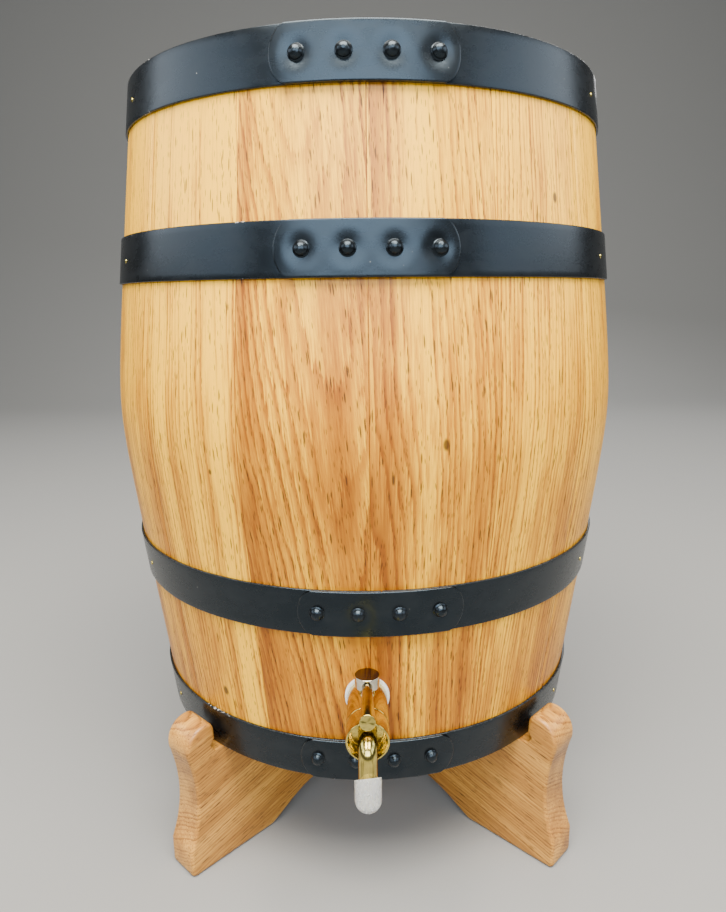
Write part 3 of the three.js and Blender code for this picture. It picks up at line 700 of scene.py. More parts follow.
def mark_stave(piece, turn, number):
    """Stores where each point of a stave lay in its tree. The grain bends with the stave."""
    sideways, out, side_lean, lean, tint = STAVE_CUTS[number]
    p = points_mm(piece)
    own_turn = np.degrees(np.arctan2(p[:, 0], -p[:, 1]))
    angle = (own_turn - turn - STAVE_ANGLE / 2 + 180) % 360 - 180
    depth = barrel_radius(p[:, 2]) - np.hypot(p[:, 0], p[:, 1])
    across = np.radians(angle) * BILGE_RADIUS
    up = p[:, 2] - HEIGHT / 2
    along = p[:, 2] + TRUNK_STEP * number
    log = np.stack([across + sideways + side_lean * up, out - depth + lean * up, along], 1)
    # The tint rises steadily from the foot to the top: painted light and shade, the top paler as if lit from
    # above and the bottom darker as if in shade.
    tints = np.full(len(p), tint) + 1.5 * up / HEIGHT
    for at, half_width, streak in STREAKS:
        tints += streak * np.exp(-(((own_turn - at) / half_width) ** 2))
    glue = DARK_JOINT if turn == FIRST_JOINT_TURN else GLUE_LINE
    at_start = np.where(angle < 0.02 - STAVE_ANGLE / 2, glue, 0)
    at_end = np.where(angle > STAVE_ANGLE / 2 - 0.06, GLUE_LINE, 0)
    tints += at_start + at_end
    mark(piece, "log", log)
    mark(piece, "tint", tints)


def make_staves():
    hole, hole_faces = rod(TAIL_RADIUS + GAP, TAIL_END - 5, TAP_BACK + 5, 40)
    for i in range(STAVE_COUNT):
        node = f"stave_{i + 1:02d}"
        turn = FIRST_JOINT_TURN + i * STAVE_ANGLE
        piece = make_object(f"{node}_wood", *stave_mesh(turn))
        if i in (0, STAVE_COUNT - 1):
            cut(piece, along_tap(hole), hole_faces)
        mark_stave(piece, turn, i)
        dress(piece, "barrel", "stave_oak", STAVE_OAK, node)


# ---- Heads and bung ----------------------------------------------------------

def head_outline(foot, top):
    tongue = TONGUE / 2
    middle = (foot + top) / 2
    wall = min(inner_radius(foot), inner_radius(top))
    shoulder, rim = wall - 2 * GAP, wall + CROZE_DEPTH
    flat = shoulder - HEAD_BEVEL
    return rounded([
        (0, foot), (flat, foot, 1.5), (shoulder, middle - tongue), (rim, middle - tongue, 0.5),
        (rim, middle + tongue, 0.5), (shoulder, middle + tongue), (flat, top, 1.5), (0, top),
    ])


def head_board(name, verts, faces, low, high):
    """The part of a head between two widths, with its long edges eased."""
    piece = make_object(name, verts, faces)
    bm = bmesh.new()
    bm.from_mesh(piece.data)
    for width, side in ((low, -1), (high, 1)):
        at = place([(0, width, 0)])[0]
        everything = bm.verts[:] + bm.edges[:] + bm.faces[:]
        bmesh.ops.bisect_plane(bm, geom=everything, plane_co=at, plane_no=(0, side, 0), clear_outer=True)
        rim = [e for e in bm.edges if e.is_boundary]
        if rim:
            bmesh.ops.holes_fill(bm, edges=rim, sides=0)
            bmesh.ops.bevel(bm, geom=rim, offset=0.5 * MM, segments=2, affect="EDGES", clamp_overlap=True)
    bm.to_mesh(piece.data)
    bm.free()
    tidy_mesh(piece.data)
    return piece


def mark_board(piece, number):
    """Stores where each point of a head board lay in its tree, with the grain along X.

    The boards are cut as every other stave is.
    """
    like = (2 * number + 1) % STAVE_COUNT
    sideways, out, _, lean, tint = STAVE_CUTS[like]
    p = points_mm(piece)
    along = p[:, 0] + TRUNK_STEP * like
    log = np.stack([p[:, 1] + sideways, out + (p[:, 2] % 200) + lean * p[:, 0], along], 1)
    mark(piece, "log", log)
    mark(piece, "tint", np.full(len(p), tint))


def bung_radius(height):
    """The bung's own taper, read off its CAD box."""
    widest = (BUNG_HIGH.x - BUNG_LOW.x) / 2
    return widest - 0.06 * (BUNG_HIGH.z - height)


def make_heads():
    limits = {
        "front": (-BILGE_RADIUS, -BOARD_SPLIT),
        "middle": (-BOARD_SPLIT, BOARD_SPLIT),
        "back": (BOARD_SPLIT, BILGE_RADIUS),
    }
    foot, top = BUNG_LOW.z, BUNG_HIGH.z
    sides = [(bung_radius(height) + GAP / 2, height) for height in (foot, top)]
    hole, hole_faces = revolve([(0, foot), *sides, (0, top)], 64)
    number = 0
    for head in ("lower", "upper"):
        verts, faces = revolve(head_outline(HEAD_LOW[head], HEAD_TOP[head]), 144)
        for board, (low, high) in limits.items():
            node = f"{head}_head_{board}_board"
            piece = head_board(f"{node}_wood", verts, faces, low + GAP / 4, high - GAP / 4)
            if node == "upper_head_middle_board":
                cut(piece, hole, hole_faces)
            mark_board(piece, number)
            dress(piece, "barrel", "head_oak", HEAD_OAK, node)
            number += 1


def make_bung():
    foot, top = BUNG_LOW.z, BUNG_HIGH.z
    outline = rounded([(0, foot), (bung_radius(foot), foot, 1.2), (bung_radius(top), top, 1.6), (0, top)])
    piece = make_object("bung_wood", *revolve(outline, 64))
    p = points_mm(piece)
    mark(piece, "log", p + np.array((40, 32, 5000)))
    mark(piece, "tint", np.full(len(p), -0.2))
    dress(piece, "bung", "head_oak", HEAD_OAK, "bung")


# ---- Hoops -------------------------------------------------------------------

STRIP_OUTER = GAP + HOOP_THICKNESS
PLATE_BASE = STRIP_OUTER + 0.08
PLATE_OUTER = STRIP_OUTER + GAP + PLATE_THICKNESS


# Where the paint is chipped: hoop, turn, half width in degrees, and how badly.
CHIPS = (
    ("head", -50, 5, 1.0), ("upper", -22, 3, 1.0), ("lower", -62, 4, 0.9),
    ("foot", -38, 9, 1.0), ("foot", 24, 6, 0.9),
)


def hoop_radius(foot, height):
    """Radius of the wood under a hoop, which lies on it as a straight cone."""
    low, high = barrel_radius(foot), barrel_radius(foot + HOOP_WIDTH)
    return low + (high - low) * (height - foot) / HOOP_WIDTH


def mark_edge_and_wear(piece, near, hoop):
    """Stores how close each point is to a bare edge, and how chipped the paint is there."""
    p = points_mm(piece)
    turns = np.degrees(np.arctan2(p[:, 0], -p[:, 1]))
    chipped = np.zeros(len(p))
    for spot_hoop, at, half_width, strength in CHIPS:
        if spot_hoop == hoop:
            chipped = np.maximum(chipped, strength * np.exp(-(((turns - at) / half_width) ** 2)))
    edge = np.clip(1 - near / 2.5, 0, 1)
    mark(piece, "edge", edge)
    mark(piece, "chipped", chipped * (0.35 + 0.65 * edge))


def make_strip(hoop):
    foot = HOOP_FEET[hoop]
    top = foot + HOOP_WIDTH
    base = hoop_radius(foot, foot), hoop_radius(foot, top)
    steps = np.linspace(foot, top, 9)[1:-1]
    outline = rounded([
        (base[0] + GAP, foot, 0.25),
        (base[0] + STRIP_OUTER, foot, 0.6),
        *((hoop_radius(foot, h) + STRIP_OUTER, h) for h in steps),
        (base[1] + STRIP_OUTER, top, 0.6),
        (base[1] + GAP, top, 0.25),
    ])
    slit = 0.15  # half the gap between the strip's ends, in degrees, under the plate
    start = PLATE_TURNS[hoop]
    turns = np.linspace(start + slit, start + 360 - slit, 241)
    sections = []
    for turn in turns:
        # The strip is sprung over the staves, so it wanders in and out very slightly.
        waves = math.radians(STAVE_COUNT * turn), math.radians(7 * turn + foot)
        lift = 0.05 * math.sin(waves[0]) + 0.05 * math.sin(waves[1])
        sections.append(about_barrel([(r + lift, h) for r, h in outline], turn))
    piece = make_object(f"{hoop}_hoop_strip_steel", *sweep(sections))
    p = points_mm(piece)
    near = np.minimum(p[:, 2] - foot, top - p[:, 2])
    mark_edge_and_wear(piece, near, hoop)
    dress(piece, "barrel", "black_steel", BLACK_PAINT, f"{hoop}_hoop_strip")


def plate_grid():
    """Columns of (along, up) points over a plate: straight edges and broad round ends."""
    half = HOOP_WIDTH / 2
    v = np.sin(np.linspace(-1, 1, 27) * math.pi / 2)
    centre = PLATE_LENGTH / 2 - PLATE_END_RADIUS
    tip = centre + np.sqrt(PLATE_END_RADIUS**2 - (half * v) ** 2)
    tip -= 2.6 * np.clip(np.abs(v) * 3 - 2, 0, 1) ** 2  # softens the end's corners
    inner = PLATE_LENGTH / 2 - 12
    columns = []
    for w in np.sin(np.linspace(1, 0, 13) * math.pi / 2)[:-1]:
        columns.append(np.stack([-inner - w * (tip - inner), half * v], 1))
    for s in np.linspace(-inner, inner, 81):
        columns.append(np.stack([np.full_like(v, s), half * v], 1))
    for w in np.sin(np.linspace(0, 1, 13) * math.pi / 2)[1:]:
        columns.append(np.stack([inner + w * (tip - inner), half * v], 1))
    return np.array(columns)


def make_plate(hoop):
    foot = HOOP_FEET[hoop]
    grid = plate_grid()
    columns, rows = grid.shape[:2]
    along, up = grid[..., 0], grid[..., 1]
    surface = hoop_radius(foot, foot + HOOP_WIDTH / 2) + PLATE_OUTER
    centre = PLATE_LENGTH / 2 - PLATE_END_RADIUS
    to_side = HOOP_WIDTH / 2 - np.abs(up)
    to_end = np.where(np.abs(along) > centre, PLATE_END_RADIUS - np.hypot(np.abs(along) - centre, up), 99)
    border = np.maximum(np.minimum(to_side, to_end), 0)

    ease = 0.75
    short = np.clip(ease - border, 0, ease)
    height = np.full_like(along, PLATE_OUTER) - (ease - np.sqrt(ease**2 - short**2))
    # Riveting dents the plate round each head and lifts it a little in between.
    shift = math.radians(RIVET_TURNS[hoop] - PLATE_TURNS[hoop]) * surface
    for i in range(4):
        away = np.hypot(along - shift - (i - 1.5) * RIVET_PITCH, up)
        height -= 1.1 * np.exp(-((away / 6.0) ** 2))
        height += 0.08 * np.exp(-(((away - 10.5) / 3.6) ** 2)) * np.clip(border / 4, 0, 1)

    def lay(level):
        turn = np.radians(PLATE_TURNS[hoop]) + along / surface
        z = foot + HOOP_WIDTH / 2 + up
        radius = hoop_radius(foot, z) + level
        return np.stack([radius * np.sin(turn), -radius * np.cos(turn), z], -1).reshape(-1, 3)

    verts = np.concatenate([lay(height), lay(np.full_like(along, PLATE_BASE))])
    under = columns * rows
    faces = []
    for i in range(columns - 1):
        for k in range(rows - 1):
            a, b = i * rows + k, (i + 1) * rows + k
            faces.append((a, b, b + 1, a + 1))
            faces.append((under + a + 1, under + b + 1, under + b, under + a))
    rim = [k for k in range(rows)]
    rim += [i * rows + rows - 1 for i in range(1, columns)]
    rim += [(columns - 1) * rows + k for k in range(rows - 2, -1, -1)]
    rim += [i * rows for i in range(columns - 2, 0, -1)]
    for a, b in zip(rim, rim[1:] + rim[:1]):
        faces.append((a, b, under + b, under + a))
    piece = make_object(f"{hoop}_hoop_plate_steel", verts, faces, sharp=50)
    mark_edge_and_wear(piece, np.concatenate([border.ravel(), border.ravel()]), hoop)
    dress(piece, "barrel", "black_steel", BLACK_PAINT, f"{hoop}_hoop_plate")


def make_rivets(hoop, rng):
    """Forged heads: a thin flange, then a blunt cone that the hammer left uneven."""
    foot = HOOP_FEET[hoop]
    middle = foot + HOOP_WIDTH / 2
    slope = (hoop_radius(foot, foot) - hoop_radius(foot, foot + HOOP_WIDTH)) / HOOP_WIDTH
    rise = math.degrees(math.atan(slope))
    surface = hoop_radius(foot, middle) + PLATE_OUTER
    pitch = math.degrees(RIVET_PITCH / surface)
    for i in range(4):
        turn = RIVET_TURNS[hoop] + (i - 1.5) * pitch
        outline = rounded([
            (0, -2.6), (2.2, -2.6), (2.2, -1.0), (4.5, -1.0, 0.15), (4.7, -0.4, 0.3),
            (4.0, 0.15, 0.2), (3.85, 0.9, 0.8), (2.7, 2.6, 1.8), (0.9, 3.3, 0.9), (0, 3.4),
        ])
        verts, faces = revolve(outline, 40)
        angle = np.arctan2(verts[:, 0], verts[:, 1])
        lift = np.clip(verts[:, 2], 0, 4) / 4
        lobes = rng.uniform(-1, 1, 3)
        swell = 1 + 0.05 * lift * (lobes[0] * np.sin(2 * angle + lobes[1] * 3) + lobes[2] * np.sin(3 * angle))
        verts[:, :2] *= swell[:, None]
        verts[:, :2] += np.outer(lift, rng.uniform(-0.35, 0.35, 2))
        spot = outward(turn) * surface
        verts = aimed(verts, outward(turn, rise), (spot.x, spot.y, middle))
        piece = make_object(f"{hoop}_rivet_head_{i + 1}", verts, faces)
        mark_edge_and_wear(piece, np.full(len(verts), 99.0), hoop)
        dress(piece, "barrel", "black_steel", BLACK_PAINT, f"{hoop}_hoop_rivet_{i + 1}")


def make_nails(hoop):
    """Small brass nails that keep the hoop from creeping."""
    foot = HOOP_FEET[hoop]
    middle = foot + HOOP_WIDTH / 2
    radius = hoop_radius(foot, middle) + STRIP_OUTER
    outline = rounded([
        (0, -1.5), (0.7, -1.5), (0.7, -0.05), (1.5, -0.05, 0.1),
        (1.45, 0.3, 0.2), (0.8, 0.62, 0.6), (0, 0.7),
    ])
    for i, turn in enumerate(NAIL_TURNS):
        verts, faces = revolve(outline, 20)
        spot = outward(turn) * radius
        verts = aimed(verts, outward(turn), (spot.x, spot.y, middle - 1))
        piece = make_object(f"{hoop}_hoop_nail_{i + 1}", verts, faces)
        dress(piece, "barrel", "tap_brass", BRASS_UPRIGHT)


def make_hoops():
    rng = np.random.default_rng(7)
    for hoop in HOOP_NAMES:
        make_strip(hoop)
        make_plate(hoop)
        make_rivets(hoop, rng)
        make_nails(hoop)


# ---- Tap ---------------------------------------------------------------------

def make_tap_body():
    shoulder = -box_mm("tap_body")[0].y
    back = TAP_BACK + GAP
    r = TAP_RADIUS
    verts, faces = revolve(rounded([
        (BODY_BORE, TAIL_END), (TAIL_RADIUS, TAIL_END, 0.5), (TAIL_RADIUS, back), (r, back, 0.5),
        (r, shoulder, 0.35), (SPOUT_SOCKET, shoulder), (SPOUT_SOCKET, SPOUT_SOCKET_REACH),
        (BODY_BORE, SPOUT_SOCKET_REACH),
    ]), 96)
    piece = make_object("tap_body_brass", along_tap(verts), faces)
    chamber, chamber_faces = rod(CHAMBER_RADIUS, PLUG_LOW.z - GAP, KNOB_LOW.z, 64)
    cut(piece, about_knob(chamber), chamber_faces)
    dress(piece, "barrel", "tap_brass", BRASS_TAP, "tap_body")

    floor = TAP_FRONT - CUP_DEPTH
    verts, faces = revolve(rounded([
        (SPOUT_SOCKET, TAP_RING), (r, TAP_RING, 0.35), (r, TAP_FRONT, 0.45), (CUP_MOUTH, TAP_FRONT, 0.2),
        (CUP_RADIUS, TAP_FRONT - 4, 3.0), (CUP_RADIUS, floor, 1.2), (SPOUT_SOCKET, floor),
    ]), 96)
    piece = make_object("tap_front_ring_brass", along_tap(verts), faces, sharp=30)
    dress(piece, "barrel", "tap_brass", BRASS_TAP, "tap_front_ring")


def meet_wall(verts, chosen, radius_at):
    """Moves the chosen points of a piece on the tap's axis onto the barrel's curve."""
    surface = np.sqrt(radius_at(TAP_HEIGHT + verts[:, 1]) ** 2 - verts[:, 0] ** 2)
    verts[:, 2] = np.where(chosen, surface, verts[:, 2])


def make_washers():
    """The outer washer's back and the inner washer's front follow the staves."""
    hole, r, face = NUT_BORE, OUTER_WASHER_RADIUS, TAP_BACK
    blank = 160  # further in than the curve
    verts, faces = revolve(rounded([(hole, blank), (r, blank), (r, face, 0.4), (hole, face)]), 96)
    meet_wall(verts, verts[:, 2] < blank + 5, lambda h: barrel_radius(h) + 0.05)
    piece = make_object("tap_outer_washer_silicone", along_tap(verts), faces)
    dress(piece, "barrel", "clear_silicone", WASHER_SILICONE, "tap_outer_washer")

    r, face = INNER_WASHER_RADIUS, GAP - NUT_LOW.y
    blank = 155  # further out than the curve
    verts, faces = revolve(rounded([(hole, face), (r, face, 0.4), (r, blank), (hole, blank)]), 96)
    meet_wall(verts, verts[:, 2] > blank - 5, lambda h: inner_radius(h) - 0.1)
    piece = make_object("tap_inner_washer_silicone", along_tap(verts), faces)
    dress(piece, "barrel", "clear_silicone", WASHER_SILICONE, "tap_inner_washer")


def make_nut():
    low, high = -NUT_HIGH.y, -NUT_LOW.y
    reach = (NUT_HIGH.z - NUT_LOW.z) / 2 / math.cos(math.pi / 6)
    turns = [k * math.pi / 3 for k in range(6)]
    outline = rounded([(reach * math.cos(a), reach * math.sin(a), 0.6) for a in turns])
    levels = ((0.96, low), (1, low + 0.6), (1, high - 0.6), (0.96, high))
    verts, faces = sweep([[(x * s, y * s, z) for x, y in outline] for s, z in levels])
    piece = make_object("tap_lock_nut_brass", along_tap(verts), faces, sharp=30)
    bore, bore_faces = rod(NUT_BORE, low - 2, high + 2, 48)
    cut(piece, along_tap(bore), bore_faces)
    dress(piece, "barrel", "tap_brass", BRASS_TAP, "tap_lock_nut")


def make_valve():
    foot, top = KNOB_LOW.z, KNOB_HIGH.z
    verts, faces = revolve(rounded([
        (0, foot + 4), (3.3, foot + 4), (3.3, foot), (KNOB_RADIUS, foot, 0.5),
        (KNOB_RADIUS, top, 0.5), (0, top),
    ]), 96)
    piece = make_object("tap_knob_brass", about_knob(verts), faces, sharp=30)
    direction = outward(0, LEVER_TILT)
    root = outward(0) * (KNOB_REACH + KNOB_RADIUS)
    root = Vector((root.x, root.y, foot + LEVER_RISE)) - direction * LEVER_IN_KNOB
    socket, socket_faces = rod(LEVER_SOCKET, -0.2, 12, 48)
    cut(piece, aimed(socket, direction, root), socket_faces)
    # The knob's top face is darkened almost fully to brown.
    mark(piece, "brown_tone", np.clip((points_mm(piece)[:, 2] - top + 0.25) / 0.2, 0, 1) * 0.9)
    dress(piece, "valve", "knob_brass", BRASS_KNOB, "tap_knob")

    end = LEVER_LENGTH
    verts, faces = revolve(rounded([
        (0, 0), (2.9, 0, 0.2), (2.95, 4), (4.3, end, 0.25),
        *((r, end) for r in (3.4, 2.5, 1.6, 0.8)), (0, end),
    ]), 96)
    # The parting tool chattered a little, which leaves a fan of shallow facets on the end.
    turned = np.hypot(verts[:, 0], verts[:, 1])
    fan = np.sin(5 * np.arctan2(verts[:, 0], verts[:, 1]) + 0.6)
    verts[:, 2] -= np.where((verts[:, 2] > end - 0.01) & (turned < 3.9), 0.07 * (1 + fan) * turned / 4, 0)
    # The lever is darkened part way to brown, all but its end.
    brown_tone = np.where(verts[:, 2] < end - 1, 0.55, 0)
    piece = make_object("tap_lever_brass", aimed(verts, direction, root), faces, sharp=30)
    mark(piece, "brown_tone", brown_tone)
    dress(piece, "valve", "tap_brass", BRASS_TAP, "tap_lever")

    seal_low, seal_high = box_mm("tap_plug_seal")
    groove = seal_low.z - GAP, seal_high.z + GAP
    shoulder = TAP_HEIGHT + PLUG_ABOVE
    r, stem, inner = PLUG_RADIUS, PLUG_STEM_RADIUS, 3.9
    verts, faces = revolve(rounded([
        (0, PLUG_LOW.z), (r, PLUG_LOW.z, 0.4), (r, groove[0], 0.2), (inner, groove[0]), (inner, groove[1]),
        (r, groove[1], 0.2), (r, shoulder, 0.4), (stem, shoulder), (stem, PLUG_HIGH.z, 0.3), (0, PLUG_HIGH.z),
    ]), 64)
    piece = make_object("tap_plug_brass", about_knob(verts), faces)
    way, way_faces = rod(BODY_BORE, KNOB_REACH - 8, KNOB_REACH + 8, 40)
    cut(piece, along_tap(way), way_faces)
    dress(piece, "valve", "tap_brass", BRASS_UPRIGHT, "tap_plug")

    middle = (seal_low.z + seal_high.z) / 2
    angles = np.linspace(0, 2 * math.pi, 16, endpoint=False)
    verts, faces = revolve([(4.5 + 0.55 * math.cos(a), middle + 0.8 * math.sin(a)) for a in angles], 48)
    piece = make_object("tap_plug_seal_rubber", about_knob(verts), faces)
    dress(piece, "valve", "black_rubber", BLACK_RUBBER, "tap_plug_seal")


def spout_path():
    """The spout's middle line: out of the ring, one round bend, then straight down."""
    start = -TAP_RING - 7.5
    bend_start = -SPOUT_REACH + SPOUT_BEND
    path = [(0, start + (bend_start - start) * t, TAP_HEIGHT) for t in np.linspace(0, 1, 8)[:-1]]
    for a in np.linspace(0, math.pi / 2, 17):
        along, down = SPOUT_BEND * (1 - math.sin(a)), SPOUT_BEND * (1 - math.cos(a))
        path.append((0, -SPOUT_REACH + along, TAP_HEIGHT - down))
    for height in np.linspace(TAP_HEIGHT - SPOUT_BEND, SPOUT_END, 10)[1:]:
        path.append((0, -SPOUT_REACH, height))
    return np.array(path)


def make_spout():
    path = spout_path()
    tangents = np.gradient(path, axis=0)
    tangents /= np.linalg.norm(tangents, axis=1)[:, None]
    side = np.array((1.0, 0, 0))
    angles = np.linspace(0, 2 * math.pi, 48, endpoint=False)

    def ring(i, radius):
        up = np.cross(side, tangents[i])
        return path[i] + radius * (np.outer(np.cos(angles), side) + np.outer(np.sin(angles), up))

    last = len(path) - 1
    rings = [ring(i, SPOUT_RADIUS) for i in range(last)]
    rings.append(ring(last, SPOUT_RADIUS - 0.02) + np.array((0, 0, 0.4)))
    rings += [ring(last, SPOUT_RADIUS - 0.4), ring(last, SPOUT_BORE)]
    rings += [ring(i, SPOUT_BORE) for i in range(last - 1, -1, -1)]
    count = len(angles)
    verts = np.concatenate(rings)
    faces = []
    for i in range(len(rings)):
        j = (i + 1) % len(rings)
        for k in range(count):
            n = (k + 1) % count
            faces.append((i * count + k, i * count + n, j * count + n, j * count + k))
    piece = make_object("tap_spout_brass", verts, faces, sharp=30)
    dress(piece, "barrel", "tap_brass", BRASS_TUBE, "tap_spout")


def make_cap():
    """A round-ended cup whose rim is cut askew, higher at the front and on the right."""
    foot, bore = CAP_LOW.z, SPOUT_RADIUS + 0.15
    side_rise = math.tan(math.radians(CAP_RIM_TILT))
    slant = math.tan(math.radians(CAP_RIM_SLANT))
    top = CAP_HIGH.z - CAP_RADIUS * side_rise
    angles = np.linspace(0, math.pi / 2, 16)
    end = [(CAP_RADIUS * math.sin(a), foot + CAP_END_HEIGHT * (1 - math.cos(a))) for a in angles]
    straight = foot + CAP_END_HEIGHT + 2
    walls = rounded([
        (CAP_RADIUS, straight), (CAP_RADIUS, top, 0.5), (bore, top, 0.3),
        (bore, SPOUT_END - GAP), (0, SPOUT_END - GAP),
    ])
    verts, faces = revolve(end + walls, 72)
    upper = np.clip((verts[:, 2] - straight) / (top - straight), 0, 1)
    verts[:, 2] += upper * (verts[:, 0] * side_rise - (verts[:, 1] + CAP_RADIUS) * slant)
    piece = make_object("spout_cap_silicone", verts + np.array((0, -SPOUT_REACH, 0)), faces)
    dress(piece, "spout_cap", "clear_silicone", CAP_SILICONE, "spout_cap")


# ---- Stand -------------------------------------------------------------------

def bezier(p0, p1, p2, p3, steps):
    t = np.linspace(0, 1, steps + 1)[1:, None]
    p0, p1, p2, p3 = (np.array(p, float) for p in (p0, p1, p2, p3))
    return (1 - t) ** 3 * p0 + 3 * t * (1 - t) ** 2 * p1 + 3 * t**2 * (1 - t) * p2 + t**3 * p3


def board_side():
    """One end of a board, from the arch round the toe and the horn to the seat."""
    seat = -FLOOR - GAP
    toe, inner, top = TOE_RADIUS, HORN_INNER, HORN_TOP
    shoulder = (toe - 3.5, seat)
    crown = (HORN_CROWN, top)
    arch = bezier((ARCH_FLAT, ARCH_HEIGHT), (90, ARCH_HEIGHT), (106, 5), (ARCH_FOOT, 0), 16)
    corner = bezier((toe - TOE_ROUND, 0), (toe - 1.2, 0), (toe, 1.2), (toe, TOE_ROUND), 6)
    waist = bezier((toe - 0.2, 21.4), (WAIST_RADIUS, 42), (WAIST_RADIUS, 66), shoulder, 24)
    brow = bezier(shoulder, (toe, 100), (toe - 6, top), crown, 16)
    nose = bezier(crown, (167.6, top), (inner, 108.5), (inner, 104), 8)
    relief = rounded([
        (inner, 104), (inner + 0.5, 99), (inner + 3.5, 94.5, 1.0), (inner + 0.5, seat, 0.8),
        (inner - 30, seat),
    ])[1:-1]
    parts = (
        [(ARCH_FLAT, ARCH_HEIGHT)], arch, [(toe - TOE_ROUND, 0)], corner, [(toe, 20.6)], waist,
        brow, nose, relief,
    )
    return [tuple(point) for part in parts for point in part]


def board_outline(lap_from_top):
    """A whole board's outline, with the half-lap notch at its middle."""
    right = board_side()
    left = [(-r, h) for r, h in right[::-1]]
    half = BOARD_THICKNESS / 2 + 0.1
    middle = (ARCH_HEIGHT - FLOOR) / 2
    if lap_from_top:
        seat = right[-1][1]
        notch = [(half, seat), (half, middle), (-half, middle), (-half, seat)]
        return right + notch + left
    notch = [(-half, ARCH_HEIGHT), (-half, middle), (half, middle), (half, ARCH_HEIGHT)]
    return right + left + notch


def rounded_board(outline):
    """Extrudes an outline to the board's thickness with eased edges, sharp in the notch."""
    points = np.array(outline, float)
    before = points - np.roll(points, 1, 0)
    after = np.roll(points, -1, 0) - points
    before /= np.maximum(np.linalg.norm(before, axis=1), 1e-9)[:, None]
    after /= np.maximum(np.linalg.norm(after, axis=1), 1e-9)[:, None]
    tangent = before + after
    tangent /= np.maximum(np.linalg.norm(tangent, axis=1), 1e-9)[:, None]
    inward = np.stack([-tangent[:, 1], tangent[:, 0]], 1)
    miter = 1 / np.clip((inward * np.stack([-after[:, 1], after[:, 0]], 1)).sum(1), 0.5, 1)
    near_notch = np.abs(points[:, 0]) < BOARD_THICKNESS
    in_relief = (np.abs(points[:, 0]) < 170) & (points[:, 1] > 88) & (points[:, 1] < 99.5)
    ease = np.where(near_notch, 0.3, np.where(in_relief, 1.0, 2.6))
    half = BOARD_THICKNESS / 2
    sections = []
    steps = np.linspace(0, math.pi / 2, 6)
    for side in (-1, 1):
        for a in (steps if side < 0 else steps[::-1]):
            inset = ease * (1 - math.sin(a))
            depth = side * (half - ease * (1 - math.cos(a)))
            ring = points + inward * (inset * miter)[:, None]
            sections.append(np.stack([ring[:, 0], depth, ring[:, 1] + FLOOR], 1))
    return sweep(sections)


def make_stand():
    grain_dip = math.radians(14)  # the grain runs down towards the front toes
    # node, turn, notched from above, which end is the front one, tint
    plans = (
        ("stand_board_lower", 45 + STAND_TURN, True, -1, 0.1),
        ("stand_board_upper", -45 + STAND_TURN, False, 1, -0.05),
    )
    bore, bore_faces = revolve([
        (0, FLOOR + 10), (4.8, FLOOR + 10), (4.8, FLOOR + 18.4), (2.7, FLOOR + 21.8),
        (2.7, FLOOR + 78.2), (0, FLOOR + 78.2),
    ], 40)
    for number, (node, turn, from_top, front, tint) in enumerate(plans):
        verts, faces = rounded_board(board_outline(from_top))
        c, s = math.cos(math.radians(turn)), math.sin(math.radians(turn))
        x, y, z = verts.T
        piece = make_object(f"{node}_wood", np.stack([x * c - y * s, x * s + y * c, z], 1), faces, sharp=45)
        cut(piece, bore, bore_faces)
        x, y, z = points_mm(piece).T
        along = x * c + y * s
        depth = -x * s + y * c
        height = z - FLOOR
        dip = -front * grain_dip
        grain = along * math.cos(dip) + height * math.sin(dip)
        across = -along * math.sin(dip) + height * math.cos(dip)
        place_in_log = across + 30 + 25 * number, 46 + depth + 0.02 * grain, grain + 20000 + 900 * number
        mark(piece, "log", np.stack(place_in_log, 1))
        mark(piece, "tint", np.full(len(x), tint))
        dress(piece, "stand", "stand_oak", STAND_OAK, node)

    low, high = box_mm("stand_screw")
    outline = rounded([(0, low.z), (4.5, low.z, 0.2), (2.5, low.z + 3.4), (2.5, high.z - 6), (0, high.z)])
    piece = make_object("stand_screw_zinc", *revolve(outline, 40))
    slots, slot_faces = revolve([(0, low.z - 1), (1.6, low.z - 1), (1.2, low.z + 2), (0, low.z + 2)], 4)
    cut(piece, slots, slot_faces)
    dress(piece, "stand", "zinc_steel", ZINC_STEEL, "stand_screw")


# ---- Stage, light and camera -------------------------------------------------

def plain_finish(name, colour, rough):
    g = Graph(name)
    g.set(Base_Color=colour)
    g.set(Roughness=rough)
    return g.material


def make_stage():
    """A pale floor that curves up into a backdrop behind the object."""
    front, back, width, radius, wall = -12.0, 3.2, 24.0, 1.2, 9.0  # metres
    line = [(front, 0), (back - radius, 0)]
    for a in np.linspace(0, math.pi / 2, 17)[1:]:
        line.append((back - radius + radius * math.sin(a), radius * (1 - math.cos(a))))
    line.append((back, wall))
    verts = [(x, y, z) for y, z in line for x in (-width, width)]
    faces = [(2 * i, 2 * i + 1, 2 * i + 3, 2 * i + 2) for i in range(len(line) - 1)]
    mesh = bpy.data.meshes.new("studio_sweep")
    mesh.from_pydata(verts, [], faces)
    for polygon in mesh.polygons:
        polygon.use_smooth = True
    sweep_object = bpy.data.objects.new("studio_sweep", mesh)
    bpy.context.scene.collection.objects.link(sweep_object)
    mesh.materials.append(plain_finish("studio_paper", rgb(0.20, 0.20, 0.195), 0.9))


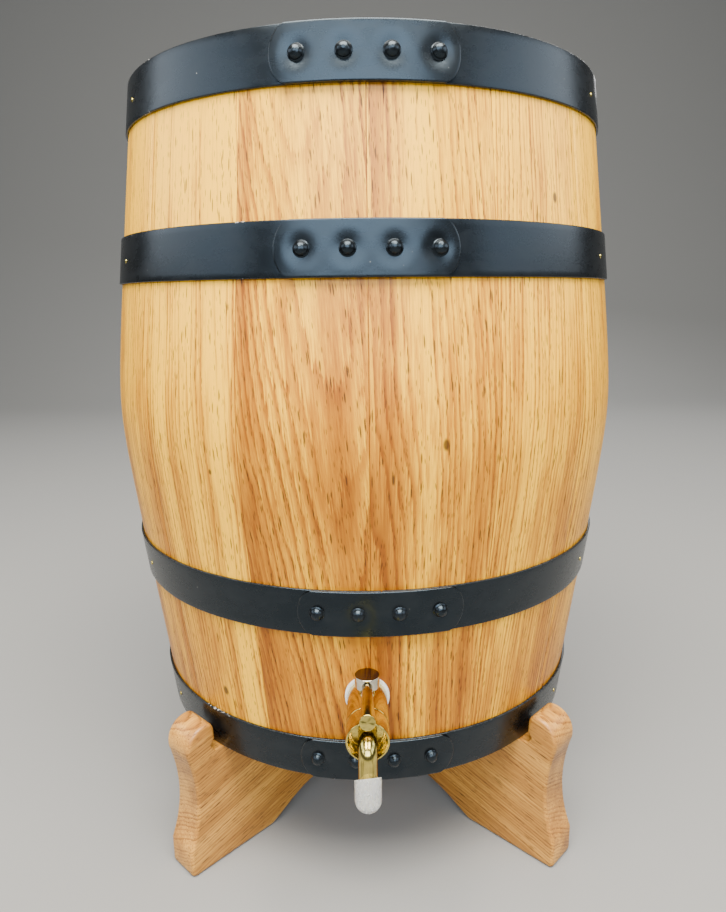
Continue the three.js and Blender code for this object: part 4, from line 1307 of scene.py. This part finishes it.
def area_light(name, at, look, size, watts, colour=(1, 1, 1)):
    data = bpy.data.lights.new(name, "AREA")
    data.shape = "RECTANGLE"
    data.size, data.size_y = size
    data.energy = watts
    data.color = colour
    light = bpy.data.objects.new(name, data)
    bpy.context.scene.collection.objects.link(light)
    light.location = at
    aim = Vector(look) - Vector(at)
    light.rotation_euler = aim.to_track_quat("-Z", "Y").to_euler()


def make_lights():
    middle = Vector((0, 0, 0.28))
    sky = (0.85, 0.93, 1.0)
    area_light("overhead", (0.0, -0.66, 1.85), middle, (1.7, 1.0), 158, (1.0, 0.93, 0.82))
    area_light("front_high", (-0.1, -2.3, 1.45), middle, (2.6, 1.1), 86, sky)
    area_light("left_high", (-2.2, -0.4, 1.3), middle, (2.6, 1.0), 27, sky)
    area_light("right_high", (2.2, -0.4, 1.3), middle, (2.6, 1.0), 27, sky)
    area_light("behind", (0.4, 2.2, 1.6), middle, (1.6, 1.0), 40)
    world = bpy.data.worlds.new("studio")
    bpy.context.scene.world = world
    world.use_nodes = True
    world.node_tree.nodes["Background"].inputs["Color"].default_value = rgb(0.75, 0.78, 0.82)
    world.node_tree.nodes["Background"].inputs["Strength"].default_value = 0.22


def make_camera():
    """Stands in front of the tap, a little above the barrel's middle, looking slightly down."""
    data = bpy.data.cameras.new("camera")
    data.sensor_fit = "VERTICAL"
    data.sensor_height = 36
    data.lens = 27.375
    distance, height = 550.4, 303.6
    camera = bpy.data.objects.new("camera", data)
    bpy.context.scene.collection.objects.link(camera)
    camera.location = ORIGIN + Vector((0, -distance, height)) * MM
    pitch, roll, yaw = (math.radians(a) for a in (12.92, -0.60, -0.16))
    turn = Matrix.Rotation(-yaw, 3, "Z") @ Matrix.Rotation(math.pi / 2 - pitch, 3, "X")
    turn = turn @ Matrix.Rotation(roll, 3, "Z")
    camera.rotation_euler = turn.to_euler()
    bpy.context.scene.camera = camera


# ---- Build -------------------------------------------------------------------

make_camera()
make_staves()
make_heads()
make_bung()
make_hoops()
make_tap_body()
make_washers()
make_nut()
make_valve()
make_spout()
make_cap()
make_stand()
make_stage()
make_lights()
